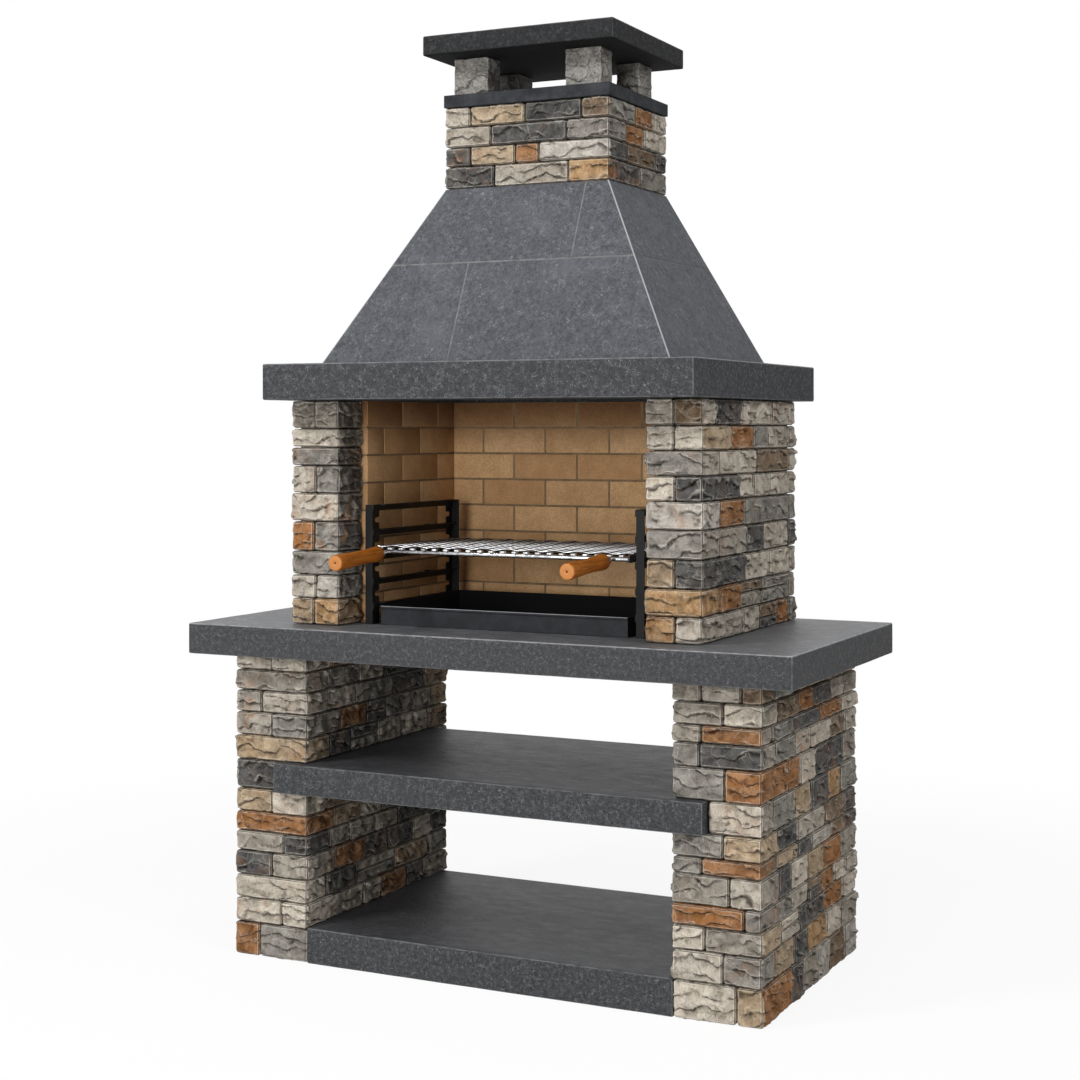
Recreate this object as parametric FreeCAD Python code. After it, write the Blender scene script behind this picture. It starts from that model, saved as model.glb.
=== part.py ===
"""Masonry barbecue: stone piers and jambs, slab shelves, brick firebox, tiled hood and chimney.

Millimetres. +X is to the right and +Z up, and the open side of the firebox looks towards -Y.
The origin is on the ground, in the middle of the space between the two piers.
"""
import FreeCAD
import Part

import itertools
import math
import os

# Lower part: two stone piers, a base slab, a shelf let into the piers and the worktop
BAY_WIDTH = 956.0            # clear width between the piers
PIER_WIDTH = 206.0
PIER_DEPTH = 700.0
BASE_HEIGHT = 86.0
BASE_SETBACK = 20.0          # base slab ends this far in front of the piers' backs
SHELF_UNDERSIDE = 412.0      # above the ground
SHELF_THICKNESS = 72.0
SHELF_BEARING = 80.0         # how far each shelf end is let into its pier
SHELF_NOSE = 27.0            # shelf stands this far proud of the piers
SHELF_SETBACK = 70.0         # shelf ends this far in front of the piers' backs
UPPER_PIER_HEIGHT = 261.0    # stones between the shelf and the worktop
WORKTOP_WIDTH = 1556.0
WORKTOP_NOSE = 70.0          # worktop stands this far proud of the piers
WORKTOP_THICKNESS = 75.0
ARRIS = 3.0                  # worn edge of every slab

# Firebox: stone jambs, rear wall and a brick lining
FIREBOX_HEIGHT = 547.0
JAMB_WIDTH = 135.0
JAMB_DEPTH = 640.0
JAMB_SETBACK = 96.0          # jambs stand this far behind the worktop's nose
JAMB_RETURN = 110.0          # stone that shows inside the opening
LINING_PROUD = 13.0          # lining stands this far inside the stone return
BRICK_DEPTH = 25.0
BRICK_LENGTH = 178.0
BRICK_COURSES = 8
BRICK_JOINT = 5.0
MORTAR_RECESS = 2.0          # joints lie this far behind the brick faces
MORTAR_BED = 5.0             # mortar behind the bricks
REAR_WALL_THICKNESS = 57.0

# Mantel slab and hood
MANTEL_WIDTH = 1114.0
MANTEL_DEPTH = 835.0
MANTEL_NOSE = 5.0            # mantel stands this far in front of the worktop
MANTEL_THICKNESS = 87.0
SMOKE_WIDTH = 740.0          # opening in the mantel
SMOKE_DEPTH = 450.0
SMOKE_SETBACK = 195.0        # from the mantel's nose to the opening
HOOD_WIDTH = 920.0           # at its foot
HOOD_DEPTH = 641.0
HOOD_SETBACK = 108.0         # behind the mantel's nose
HOOD_HEIGHT = 435.0
HOOD_COURSE = 245.0          # height of the lower course of tiles
HOOD_WALL = 45.0
TILE_THICKNESS = 12.0
TILE_JOINT = 4.0
HIP_JOINT = 3.0              # each tile stops this far short of the hip
GROUT_RECESS = 1.0
LOWER_TILE_JOINT = -110.0    # upright joint of the lower front tiles, from the middle
UPPER_TILE_JOINT = 162.0     # upright joint of the upper front tiles, from the middle

# Chimney stack, collar, posts and cap
STACK_WIDTH = 437.0
STACK_DEPTH = 354.0
STACK_HEIGHT = 202.0
STACK_SETBACK = 199.5        # from the hood's foot to the stack's front
STACK_STONE = 45.0           # thickness of the stack's stones
HOOD_LEDGE = 3.0             # hood's top stands this far outside the stack
FLUE_WALL = 30.0
COLLAR_OVERHANG = 6.0
COLLAR_THICKNESS = 31.0
COLLAR_FRONT_JOINT = 126.0   # from the collar's left corner
COLLAR_SIDE_JOINT = 223.0    # from the collar's front corner
POST_WIDTH = 94.0            # the two front posts
POST_DEPTH = 68.0
REAR_POST_WIDTH = 62.0
REAR_POST_DEPTH = 82.0
POST_HEIGHT = 92.0
POST_INSET = 25.0            # from the collar's edges
POST_SHIFT = -9.0            # middle of the posts, from the middle of the collar
CAP_WIDTH = 512.0
CAP_DEPTH = 443.0
CAP_NOSE = 50.0              # cap stands this far in front of the collar
CAP_THICKNESS = 49.0

# Steel racks, one at each side of the fire
RACK_SPACING = 700.0         # between the inner faces of the two racks' webs
RACK_STANDOFF = 39.0         # from a rack's web to the lining
RACK_SETBACK = 165.0         # behind the worktop's nose
RACK_DEPTH = 405.0
RACK_STEEL = 3.0
POST_WEB = 32.0
POST_FLANGE = 20.0
BAR_LEG = 15.0
BAR_COUNT = 5
BAR_PITCH = 60.0
LOWEST_LEDGE = 52.0          # above the worktop
GRILL_LEVEL = 2              # ledge that carries the grill, counted from 0
NOTCH_HEIGHT = 12.0
NOTCH_DEPTH = 20.0
NOTCH_FLARE = 4.0
PIN_DIAMETER = 10.0
PIN_BARS = (1, 3)
PIN_INSET = 75.0             # from each end of a bar to its wall pins

# Charcoal tray
TRAY_PLAY = 7.0              # between the tray and each rack's ledges
TRAY_DEPTH = 396.0
TRAY_FRONT_WALL = 46.0
TRAY_REAR_WALL = 55.0
TRAY_STEEL = 2.5
TRAY_HEM = 6.0

# Grill
GRILL_PLAY = 7.0             # between the grill and each rack's bars
GRILL_DEPTH = 415.0
GRILL_SETBACK = 150.0        # behind the worktop's nose
ROD_DIAMETER = 10.0
ROD_LIFT = 3.0               # rods lie this far above the side bars' lower edges
SIDE_BAR_STEEL = 4.0
WIRE_DIAMETER = 4.0
WIRE_SIDES = 8               # flats round each wire, rod and pin
LONG_WIRE_PITCH = 30.0
CROSS_WIRE_PITCH = 31.0
WIRE_OVERHANG = 4.0          # long wires end this far past the rods
WIRE_FLAT_LENGTH = 12.0      # flattened end of a long wire, on a rod
WIRE_FLAT_WIDTH = 11.0
RUNNING_CLEARANCE = 0.3      # under the sliding grill and tray
WELD_GAP = 0.05              # between round pieces that are welded

# Grill handles
HANDLE_INSET = 44.0          # from the grill's side to the handle's axis
HANDLE_DROOP = 3.0           # degrees
FORK_LENGTH = 24.0
FORK_SPREAD = 14.0           # between the two wires of a fork
FORK_WIRE = 5.0
FERRULE_LENGTH = 22.0
FERRULE_DIAMETER = 24.0
FERRULE_NECK = 20.0          # its narrow end, at the fork
TANG_DIAMETER = 8.0
TANG_LENGTH = 60.0
TANG_CLEARANCE = 0.2         # on the diameter
GRIP_LENGTH = 195.0
GRIP_DIAMETER = 38.0
GRIP_WAIST = 33.0
GRIP_SHOULDER = 29.0         # rounded end beside the ferrule
GROOVE_FROM_END = 24.0
GROOVE_WIDTH = 4.0
GROOVE_DEPTH = 1.5
GRIP_EDGE = 4.0              # rounding of the free end
TURNED_SIDES = 16            # flats round each turned piece
END_HOLE = 5.0
END_HOLE_DEPTH = 9.0

# Stone courses from the ground up. Each row is a course's height, the widths of its front stones
# from left to right, and the length of its outer corner stone along the side. Heights and widths
# are shares of the space that they fill. Lengths are real sizes.
LEFT_PIER_LOWER = ((82, (33, 67), 205), (59, (64, 36), 90), (57, (1,), 150), (59, (50, 50), 200),
                   (48, (67, 33), 115), (49, (1,), 130), (56, (51, 49), 110))
LEFT_PIER_SHELF = (72, (1,), 95)
LEFT_PIER_UPPER = ((62, (1,), 160), (60, (51, 49), 85), (56, (36, 64), 190), (53, (1,), 100),
                   (42, (50, 50), 170))
RIGHT_PIER_LOWER = ((86, (72, 28), 205), (67, (57, 43), 90), (54, (36, 64), 130), (47, (81, 19), 200),
                    (67, (64, 36), 115), (37, (33, 67), 115), (54, (57, 43), 110))
RIGHT_PIER_SHELF = (72, (1,), 80)
RIGHT_PIER_UPPER = ((72, (59, 41), 180), (54, (30, 70), 85), (39, (32, 68), 75), (51, (57, 43), 100),
                    (45, (32, 45, 23), 85))
LEFT_JAMB = ((65, (46, 54), 170), (57, (50, 50), 240), (58, (1,), 110), (72, (46, 54), 250), (69, (1,), 110),
             (67, (50, 50), 180), (45, (1,), 110), (46, (1,), 110), (68, (48, 52), 200))
RIGHT_JAMB = ((60, (52, 48), 267), (62, (1,), 110), (65, (51, 49), 275), (66, (1,), 110), (63, (1,), 110),
              (57, (52, 48), 240), (57, (1,), 110), (56, (50, 50), 186), (61, (50, 50), 90))
INNER_CORNERS = (110, 150, 90, 130)          # inner corner stones' lengths along the pier, in turn
REAR_CORNERS = (90, 130, 105)                # rear corner stones' lengths, in turn
REAR_WIDTHS = ((55, 45), (38, 62), (62, 38))
SIDE_RUNS = ((30, 24, 26, 20), (22, 30, 20, 28), (34, 38, 28), (20, 26, 24, 30))
JAMB_RUNS = ((34, 40, 26), (28, 30, 42), (52, 48), (38, 24, 38))
JAMB_STONE = 40.0                            # thickness of the jambs' outer stones
JAMB_REAR_STONE = 50.0
RELIEF = (0.0, 3.0, 1.5, 4.0, 2.0)           # how far each stone's face lies back, in turn

# Stack courses from the hood up: height, front stones from the left, right side stones from the front
STACK_COURSES = ((55, (30, 46, 24), (52, 48)), (48, (15, 28, 15, 42), (31, 49, 20)),
                 (50, (28, 47, 25), (30, 32, 38)), (50, (15, 34, 35, 16), (45, 32, 23)))

# Places that follow from the sizes
INNER_X = BAY_WIDTH / 2
OUTER_X = INNER_X + PIER_WIDTH
PIER_FRONT = -PIER_DEPTH / 2
PIER_REAR = PIER_DEPTH / 2
SHELF_TOP = SHELF_UNDERSIDE + SHELF_THICKNESS
SHELF_REAR = PIER_REAR - SHELF_SETBACK
PIER_TOP = SHELF_TOP + UPPER_PIER_HEIGHT
WORKTOP_FRONT = PIER_FRONT - WORKTOP_NOSE
WORKTOP_TOP = PIER_TOP + WORKTOP_THICKNESS
RACK_X = RACK_SPACING / 2
FIREBOX_WIDTH = RACK_SPACING + 2 * (RACK_STANDOFF + LINING_PROUD)
JAMB_INNER = FIREBOX_WIDTH / 2
LINING_FACE = JAMB_INNER - LINING_PROUD
JAMB_OUTER = JAMB_INNER + JAMB_WIDTH
JAMB_FRONT = WORKTOP_FRONT + JAMB_SETBACK
JAMB_REAR = JAMB_FRONT + JAMB_DEPTH
LINING_BACK = LINING_FACE + BRICK_DEPTH + MORTAR_BED
LINING_FRONT = JAMB_FRONT + JAMB_RETURN
LINING_REAR = JAMB_REAR - REAR_WALL_THICKNESS
REAR_FACE = LINING_REAR - MORTAR_BED - BRICK_DEPTH
MANTEL_UNDERSIDE = WORKTOP_TOP + FIREBOX_HEIGHT
MANTEL_TOP = MANTEL_UNDERSIDE + MANTEL_THICKNESS
MANTEL_FRONT = WORKTOP_FRONT - MANTEL_NOSE
HOOD_FRONT = MANTEL_FRONT + HOOD_SETBACK
HOOD_TOP = MANTEL_TOP + HOOD_HEIGHT
STACK_FRONT = HOOD_FRONT + STACK_SETBACK
STACK_REAR = STACK_FRONT + STACK_DEPTH
STACK_TOP = HOOD_TOP + STACK_HEIGHT
FLUE_INSET = STACK_STONE + FLUE_WALL
COLLAR_TOP = STACK_TOP + COLLAR_THICKNESS
POST_TOP = COLLAR_TOP + POST_HEIGHT
RACK_FRONT = WORKTOP_FRONT + RACK_SETBACK
RACK_REAR = RACK_FRONT + RACK_DEPTH
RACK_TOP = WORKTOP_TOP + LOWEST_LEDGE + BAR_PITCH * (BAR_COUNT - 1)
TRAY_WIDTH = 2 * (RACK_X - BAR_LEG - TRAY_PLAY)
TRAY_FRONT = RACK_FRONT + RACK_STEEL
TRAY_FLOOR = WORKTOP_TOP + RUNNING_CLEARANCE
GRILL_WIDTH = 2 * (RACK_X - RACK_STEEL - GRILL_PLAY)
GRILL_FLOOR = WORKTOP_TOP + LOWEST_LEDGE + BAR_PITCH * GRILL_LEVEL + RUNNING_CLEARANCE
GRILL_FRONT = WORKTOP_FRONT + GRILL_SETBACK
ROD_AXIS = GRILL_FLOOR + ROD_LIFT + ROD_DIAMETER / 2
LONG_WIRE_AXIS = ROD_AXIS + ROD_DIAMETER / 2 + WELD_GAP + WIRE_DIAMETER / 2
SIDE_BAR_TOP = LONG_WIRE_AXIS + WIRE_DIAMETER / 2
CROSS_WIRE_AXIS = SIDE_BAR_TOP + WELD_GAP + WIRE_DIAMETER / 2
HANDLE_X = GRILL_WIDTH / 2 - HANDLE_INSET
FRONT_ROD_Y = GRILL_FRONT + ROD_DIAMETER / 2

V = FreeCAD.Vector
X_AXIS = V(1, 0, 0)
Y_AXIS = V(0, 1, 0)
Z_AXIS = V(0, 0, 1)
relief = itertools.cycle(RELIEF)
nodes = {}


def box(x_span, y_span, z_span):
    """A block between two places along each axis."""
    x0, x1 = sorted(x_span)
    return Part.makeBox(x1 - x0, y_span[1] - y_span[0], z_span[1] - z_span[0], V(x0, y_span[0], z_span[0]))


def prism(points, z_span):
    """An upright prism on a plan outline."""
    corners = [V(x, y, z_span[0]) for x, y in points]
    return Part.Face(Part.makePolygon(corners + corners[:1])).extrude(V(0, 0, z_span[1] - z_span[0]))


def hexahedron(bottom, top):
    """A solid with six flat faces between two four-sided outlines."""
    rings = [bottom[::-1], top]
    rings += [[bottom[i], bottom[i - 3], top[i - 3], top[i]] for i in range(4)]
    faces = [Part.Face(Part.makePolygon(ring + ring[:1])) for ring in rings]
    return Part.Solid(Part.Shell(faces))


def ring(centre, direction, radius, sides):
    """An outline with even sides round an axis. Its upper and lower sides lie level."""
    across = direction.cross(Z_AXIS)
    up = across.cross(direction)
    turns = [math.tau * (i + 0.5) / sides for i in range(sides + 1)]
    return Part.makePolygon([centre + across * (radius * math.sin(turn)) + up * (radius * math.cos(turn))
                             for turn in turns])


def wire(start, direction, length, diameter):
    """A straight wire, rod or pin with a few flats round it."""
    corner_radius = diameter / 2 / math.cos(math.pi / WIRE_SIDES)
    return Part.Face(ring(start, direction, corner_radius, WIRE_SIDES)).extrude(direction * length)


def stretches(start, end, shares):
    """Touching stretches that fill a length in the given shares."""
    edges = [start + (end - start) * part / sum(shares) for part in itertools.accumulate(shares, initial=0)]
    return list(zip(edges, edges[1:]))


def slab(x_span, y_span, z_span):
    """A stone slab with all its edges worn to a narrow arris."""
    block = box(x_span, y_span, z_span)
    return block.makeChamfer(ARRIS, block.Edges)


def stone(x_span, y_span, z_span, open_sides):
    """A laid stone, whose open faces lie back a little from the wall's face."""
    x0, x1 = sorted(x_span)
    y0, y1 = y_span
    x0 += next(relief) if "left" in open_sides else 0
    x1 -= next(relief) if "right" in open_sides else 0
    y0 += next(relief) if "front" in open_sides else 0
    y1 -= next(relief) if "rear" in open_sides else 0
    return box((x0, x1), (y0, y1), z_span)


def end_row(places, lengths, y_face, inward, z_span, side, ends):
    """Stones side by side across a wall's end, and the plan line along their backs."""
    stones = []
    backs = []
    for i, (place, length) in enumerate(zip(places, lengths)):
        open_sides = [side] + ends[:1] * (i == 0) + ends[1:] * (i == len(places) - 1)
        y_back = y_face + inward * length
        stones.append(stone(place, sorted((y_face, y_back)), z_span, open_sides))
        backs += [(place[0], y_back), (place[1], y_back)]
    return stones, backs


def fill_between(front_backs, rear_backs, x_span, z_span):
    """The mortar and rubble of one course, between its front stones, rear stones and side stones."""
    x0, x1 = x_span
    inside = lambda backs: [(min(max(x, x0), x1), y) for x, y in backs]
    outline = []
    for point in inside(front_backs) + inside(rear_backs)[::-1]:
        if point not in outline:
            outline.append(point)
    outline = [point for i, point in enumerate(outline)
               if not in_line(outline[i - 1], point, outline[i + 1 - len(outline)])]
    return prism(outline, z_span)


def in_line(before, point, after):
    """Whether a point of a square-cornered outline lies between its neighbours on one line."""
    return before[0] == point[0] == after[0] or before[1] == point[1] == after[1]


def pier_course(side, index, course, z_span, beside_shelf):
    """One course of a pier: front and rear stones, side stones and the fill between them."""
    _, widths, outer_length = course
    left, right = sorted((side * INNER_X, side * OUTER_X))
    inner_length = INNER_CORNERS[index % len(INNER_CORNERS)]
    rear_length = REAR_CORNERS[index % len(REAR_CORNERS)]
    lengths = {-1: outer_length, 1: inner_length} if side < 0 else {-1: inner_length, 1: outer_length}
    front_left, front_right = left, right
    rear_places = stretches(left, right, REAR_WIDTHS[index % len(REAR_WIDTHS)])
    rear_lengths = [rear_length, rear_length]
    if beside_shelf:
        shelf_end = side * (INNER_X + SHELF_BEARING)
        front_left, front_right = sorted((shelf_end, side * OUTER_X))
        rear_places = [(left, shelf_end), (shelf_end, right)]
        rear_lengths[side < 0] = SHELF_SETBACK
    front_places = stretches(front_left, front_right, widths)
    front_lengths = [min(outer_length, inner_length)] * len(widths)
    if len(widths) > 1:
        front_lengths[0] = lengths[-1]
        front_lengths[-1] = lengths[1]
    ends = ["left", "right"]
    front, front_backs = end_row(front_places, front_lengths, PIER_FRONT, 1, z_span, "front", ends)
    rear, rear_backs = end_row(rear_places, rear_lengths, PIER_REAR, -1, z_span, "rear", ends)
    stones = front + rear
    runs = SIDE_RUNS[index % len(SIDE_RUNS)]
    for name, face, inward, start, end in (("left", left, 1, front_lengths[0], rear_lengths[0]),
                                           ("right", right, -1, front_lengths[-1], rear_lengths[-1])):
        if beside_shelf and face == side * INNER_X:
            continue
        for y_span in stretches(PIER_FRONT + start, PIER_REAR - end, runs[::inward]):
            stones.append(stone((face, face + inward * SHELF_BEARING), y_span, z_span, [name]))
    inner_fill = (left + SHELF_BEARING, right - SHELF_BEARING)
    return stones, fill_between(front_backs, rear_backs, inner_fill, z_span)


def pier(side, lower, shelf, upper):
    """All courses of a pier, with the gap in its inner face that takes the shelf."""
    spans = stretches(0, SHELF_UNDERSIDE, [course[0] for course in lower])
    spans += [(SHELF_UNDERSIDE, SHELF_TOP)]
    spans += stretches(SHELF_TOP, PIER_TOP, [course[0] for course in upper])
    stones = []
    fill = []
    for index, (course, z_span) in enumerate(zip(lower + (shelf,) + upper, spans)):
        laid, bed = pier_course(side, index, course, z_span, index == len(lower))
        stones += laid
        fill.append(bed)
    return stones, fill


def jamb(side, courses):
    """A firebox jamb: front stones through its whole width, outer side stones, rear stones and fill."""
    stones = []
    fill = []
    outer, inner, behind = side * JAMB_OUTER, side * JAMB_INNER, side * LINING_BACK
    outer_side, inner_side = ("left", "right") if side < 0 else ("right", "left")
    fill_span = sorted((behind, outer - side * JAMB_STONE))
    spans = stretches(WORKTOP_TOP, MANTEL_UNDERSIDE, [course[0] for course in courses])
    for index, ((_, widths, outer_length), z_span) in enumerate(zip(courses, spans)):
        places = stretches(*sorted((inner, outer)), widths)
        lengths = [JAMB_RETURN] * len(widths)
        lengths[0 if side < 0 else -1] = outer_length if len(widths) > 1 else JAMB_RETURN
        row, front_backs = end_row(places, lengths, JAMB_FRONT, 1, z_span, "front", ["left", "right"])
        stones += row
        rear_span = (JAMB_REAR - JAMB_REAR_STONE, JAMB_REAR)
        stones.append(stone((behind, outer), rear_span, z_span, ["rear", outer_side]))
        run_start = JAMB_FRONT + lengths[0 if side < 0 else -1]
        for y_span in stretches(run_start, rear_span[0], JAMB_RUNS[index % len(JAMB_RUNS)]):
            stones.append(stone((outer, outer - side * JAMB_STONE), y_span, z_span, [outer_side]))
        rear_backs = [(x, rear_span[0]) for x in fill_span]
        fill.append(fill_between(front_backs, rear_backs, fill_span, z_span))
    return stones, fill


def brick_rows(start, end, first_full_on_top):
    """Brick lengths along each course of a wall, from the ground up, in half bond."""
    pitch = BRICK_LENGTH + BRICK_JOINT
    rows = []
    for course in range(BRICK_COURSES):
        from_top = BRICK_COURSES - 1 - course
        full = (from_top % 2 == 0) == first_full_on_top
        edge = start
        cut = start + (pitch if full else pitch / 2)
        row = []
        while edge < end:
            row.append((edge, min(cut - BRICK_JOINT, end)))
            edge = cut
            cut += pitch
        rows.append(row)
    return rows


def brick_heights():
    """The height span of each course, with a mortar joint under it."""
    courses = stretches(WORKTOP_TOP, MANTEL_UNDERSIDE, [1] * BRICK_COURSES)
    return [(low + BRICK_JOINT, high) for low, high in courses]


def side_lining(side):
    """Bricks and mortar of one side of the firebox."""
    face, back = side * LINING_FACE, side * LINING_BACK
    bricks = []
    for row, z_span in zip(brick_rows(0, REAR_FACE - LINING_FRONT, False), brick_heights()):
        for near, far in row:
            y_far = LINING_REAR if near == 0 else REAR_FACE - near
            bricks.append(box((face, face + side * BRICK_DEPTH), (REAR_FACE - far, y_far), z_span))
    panel = box((face + side * MORTAR_RECESS, back), (LINING_FRONT, LINING_REAR),
                (WORKTOP_TOP, MANTEL_UNDERSIDE))
    return bricks, panel.cut(bricks)


def rear_lining():
    """Bricks and mortar of the back of the firebox, between the two sides."""
    bricks = []
    for row, z_span in zip(brick_rows(-LINING_FACE, LINING_FACE, True), brick_heights()):
        bricks += [box(x_span, (REAR_FACE, REAR_FACE + BRICK_DEPTH), z_span) for x_span in row]
    panel = box((-LINING_FACE, LINING_FACE), (REAR_FACE + MORTAR_RECESS, LINING_REAR),
                (WORKTOP_TOP, MANTEL_UNDERSIDE))
    return bricks, panel.cut(bricks)


def mantel():
    """The mantel slab, with the opening that lets the smoke up into the hood."""
    whole = slab((-MANTEL_WIDTH / 2, MANTEL_WIDTH / 2), (MANTEL_FRONT, MANTEL_FRONT + MANTEL_DEPTH),
                 (MANTEL_UNDERSIDE, MANTEL_TOP))
    smoke_front = MANTEL_FRONT + SMOKE_SETBACK
    return whole.cut(box((-SMOKE_WIDTH / 2, SMOKE_WIDTH / 2), (smoke_front, smoke_front + SMOKE_DEPTH),
                         (MANTEL_UNDERSIDE, MANTEL_TOP)))


def hood_outline(z, inset):
    """Left, right, front and rear of the hood at a height, drawn in by an inset."""
    up = (z - MANTEL_TOP) / HOOD_HEIGHT
    foot = (-HOOD_WIDTH / 2, HOOD_WIDTH / 2, HOOD_FRONT, HOOD_FRONT + HOOD_DEPTH)
    half_top = STACK_WIDTH / 2 + HOOD_LEDGE
    top = (-half_top, half_top, STACK_FRONT - HOOD_LEDGE, STACK_REAR + HOOD_LEDGE)
    x0, x1, y0, y1 = (low + (high - low) * up for low, high in zip(foot, top))
    return x0 + inset, x1 - inset, y0 + inset, y1 - inset


def hood_ring(z, inset):
    """Corners of the hood's outline at a height."""
    x0, x1, y0, y1 = hood_outline(z, inset)
    return [V(x0, y0, z), V(x1, y0, z), V(x1, y1, z), V(x0, y1, z)]


def flue_ring(z):
    """Corners of the flue's opening at a height."""
    half = STACK_WIDTH / 2 - FLUE_INSET
    front, rear = STACK_FRONT + FLUE_INSET, STACK_REAR - FLUE_INSET
    return [V(-half, front, z), V(half, front, z), V(half, rear, z), V(-half, rear, z)]


def hood_shell():
    """The cast hood under the tiles, hollow from the mantel up to the flue."""
    outer = hexahedron(hood_ring(MANTEL_TOP, TILE_THICKNESS), hood_ring(HOOD_TOP, TILE_THICKNESS))
    inner = hexahedron(hood_ring(MANTEL_TOP, TILE_THICKNESS + HOOD_WALL), flue_ring(HOOD_TOP))
    return outer.cut(inner)


def hood_tile(corner, z_span, joint=None, end=None):
    """A tile on one face of the hood. A front tile may stop at an upright joint instead of a hip."""
    rings = []
    for z in z_span:
        ring = []
        for inset in (0, TILE_THICKNESS):
            corners = hood_ring(z, inset)
            line = [corners[corner], corners[corner - 3]]
            along = (line[1] - line[0]).normalize()
            line = [line[0] + along * HIP_JOINT, line[1] - along * HIP_JOINT]
            if joint is not None:
                line[end].x = joint + TILE_JOINT / 2 * (1 if end == 0 else -1)
            ring += line if inset == 0 else line[::-1]
        rings.append(ring)
    return hexahedron(*rings)


def hood_tiles():
    """Two courses of tiles on the four faces, named for their places."""
    middle = MANTEL_TOP + HOOD_COURSE
    tiles = {}
    for course, z_span, joint in (("lower", (MANTEL_TOP, middle - TILE_JOINT / 2), LOWER_TILE_JOINT),
                                  ("upper", (middle + TILE_JOINT / 2, HOOD_TOP), UPPER_TILE_JOINT)):
        for corner, face in enumerate(("front", "right", "rear", "left")):
            if face == "front":
                tiles[f"hood_front_{course}_left_tile"] = hood_tile(corner, z_span, joint, 1)
                tiles[f"hood_front_{course}_right_tile"] = hood_tile(corner, z_span, joint, 0)
            else:
                tiles[f"hood_{face}_{course}_tile"] = hood_tile(corner, z_span)
    return tiles


def hood_grout(tiles):
    """Grout that fills the joints and hips between the tiles."""
    skin = hexahedron(hood_ring(MANTEL_TOP, GROUT_RECESS), hood_ring(HOOD_TOP, GROUT_RECESS))
    shell = hexahedron(hood_ring(MANTEL_TOP, TILE_THICKNESS), hood_ring(HOOD_TOP, TILE_THICKNESS))
    return skin.cut([shell] + list(tiles))


def stack_course(z_span, widths, lengths):
    """Half of a stack course: front stones, right side stones and two corner stones cut to an L."""
    left, right = -STACK_WIDTH / 2, STACK_WIDTH / 2
    front, rear = STACK_FRONT, STACK_REAR
    across = stretches(left, right, widths)
    along = stretches(front, rear, lengths)
    inner_left, inner_right, inner_front = left + STACK_STONE, right - STACK_STONE, front + STACK_STONE
    left_return = front + rear - along[-1][0]
    stones = [stone(x_span, (front, inner_front), z_span, ["front"]) for x_span in across[1:-1]]
    stones += [stone((inner_right, right), y_span, z_span, ["right"]) for y_span in along[1:-1]]
    stones.append(prism([(across[-1][0], front), (right, front), (right, along[0][1]),
                         (inner_right, along[0][1]), (inner_right, inner_front),
                         (across[-1][0], inner_front)], z_span))
    stones.append(prism([(left, front), (across[0][1], front), (across[0][1], inner_front),
                         (inner_left, inner_front), (inner_left, left_return), (left, left_return)], z_span))
    return stones


def stack_stones():
    """Four courses round the flue. The rear half of each course repeats the front half, turned round."""
    middle = V(0, (STACK_FRONT + STACK_REAR) / 2, 0)
    spans = stretches(HOOD_TOP, STACK_TOP, [course[0] for course in STACK_COURSES])
    stones = []
    for (_, widths, lengths), z_span in zip(STACK_COURSES, spans):
        half = stack_course(z_span, widths, lengths)
        turned = [piece.copy() for piece in half]
        for piece in turned:
            piece.rotate(middle, Z_AXIS, 180)
        stones += half + turned
    return stones


def flue():
    """The liner that the stack's stones stand round."""
    half = STACK_WIDTH / 2 - STACK_STONE
    outer = box((-half, half), (STACK_FRONT + STACK_STONE, STACK_REAR - STACK_STONE), (HOOD_TOP, STACK_TOP))
    return outer.cut(hexahedron(flue_ring(HOOD_TOP), flue_ring(STACK_TOP)))


def collar_segments():
    """Four L-shaped coping segments round the flue's mouth, their joints turned round the corners."""
    half = STACK_WIDTH / 2 + COLLAR_OVERHANG
    front, rear = STACK_FRONT - COLLAR_OVERHANG, STACK_REAR + COLLAR_OVERHANG
    hole = STACK_WIDTH / 2 - FLUE_INSET
    hole_front, hole_rear = STACK_FRONT + FLUE_INSET, STACK_REAR - FLUE_INSET
    joint_x = -half + COLLAR_FRONT_JOINT
    joint_y = front + COLLAR_SIDE_JOINT
    far_y = front + rear - joint_y
    outlines = [[(joint_x, front), (half, front), (half, joint_y), (hole, joint_y), (hole, hole_front),
                 (joint_x, hole_front)],
                [(-half, far_y), (-half, front), (joint_x, front), (joint_x, hole_front), (-hole, hole_front),
                 (-hole, far_y)]]
    outlines += [[(-x, front + rear - y) for x, y in outline] for outline in outlines]
    return [prism(outline, (STACK_TOP, COLLAR_TOP)) for outline in outlines]


def cap_posts():
    """Four granite posts that hold the cap clear of the flue."""
    edge_x = STACK_WIDTH / 2 + COLLAR_OVERHANG - POST_INSET
    front = STACK_FRONT - COLLAR_OVERHANG + POST_INSET
    rear = STACK_REAR + COLLAR_OVERHANG - POST_INSET
    posts = {}
    for row, width, y_span in (("front", POST_WIDTH, (front, front + POST_DEPTH)),
                               ("rear", REAR_POST_WIDTH, (rear - REAR_POST_DEPTH, rear))):
        for name, side in (("left", -1), ("right", 1)):
            x_span = (POST_SHIFT + side * edge_x, POST_SHIFT + side * (edge_x - width))
            posts[f"cap_post_{row}_{name}"] = box(x_span, y_span, (COLLAR_TOP, POST_TOP))
    return posts


def ledge_top(level):
    """Height of a rack bar's ledge."""
    return WORKTOP_TOP + LOWEST_LEDGE + BAR_PITCH * level


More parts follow.
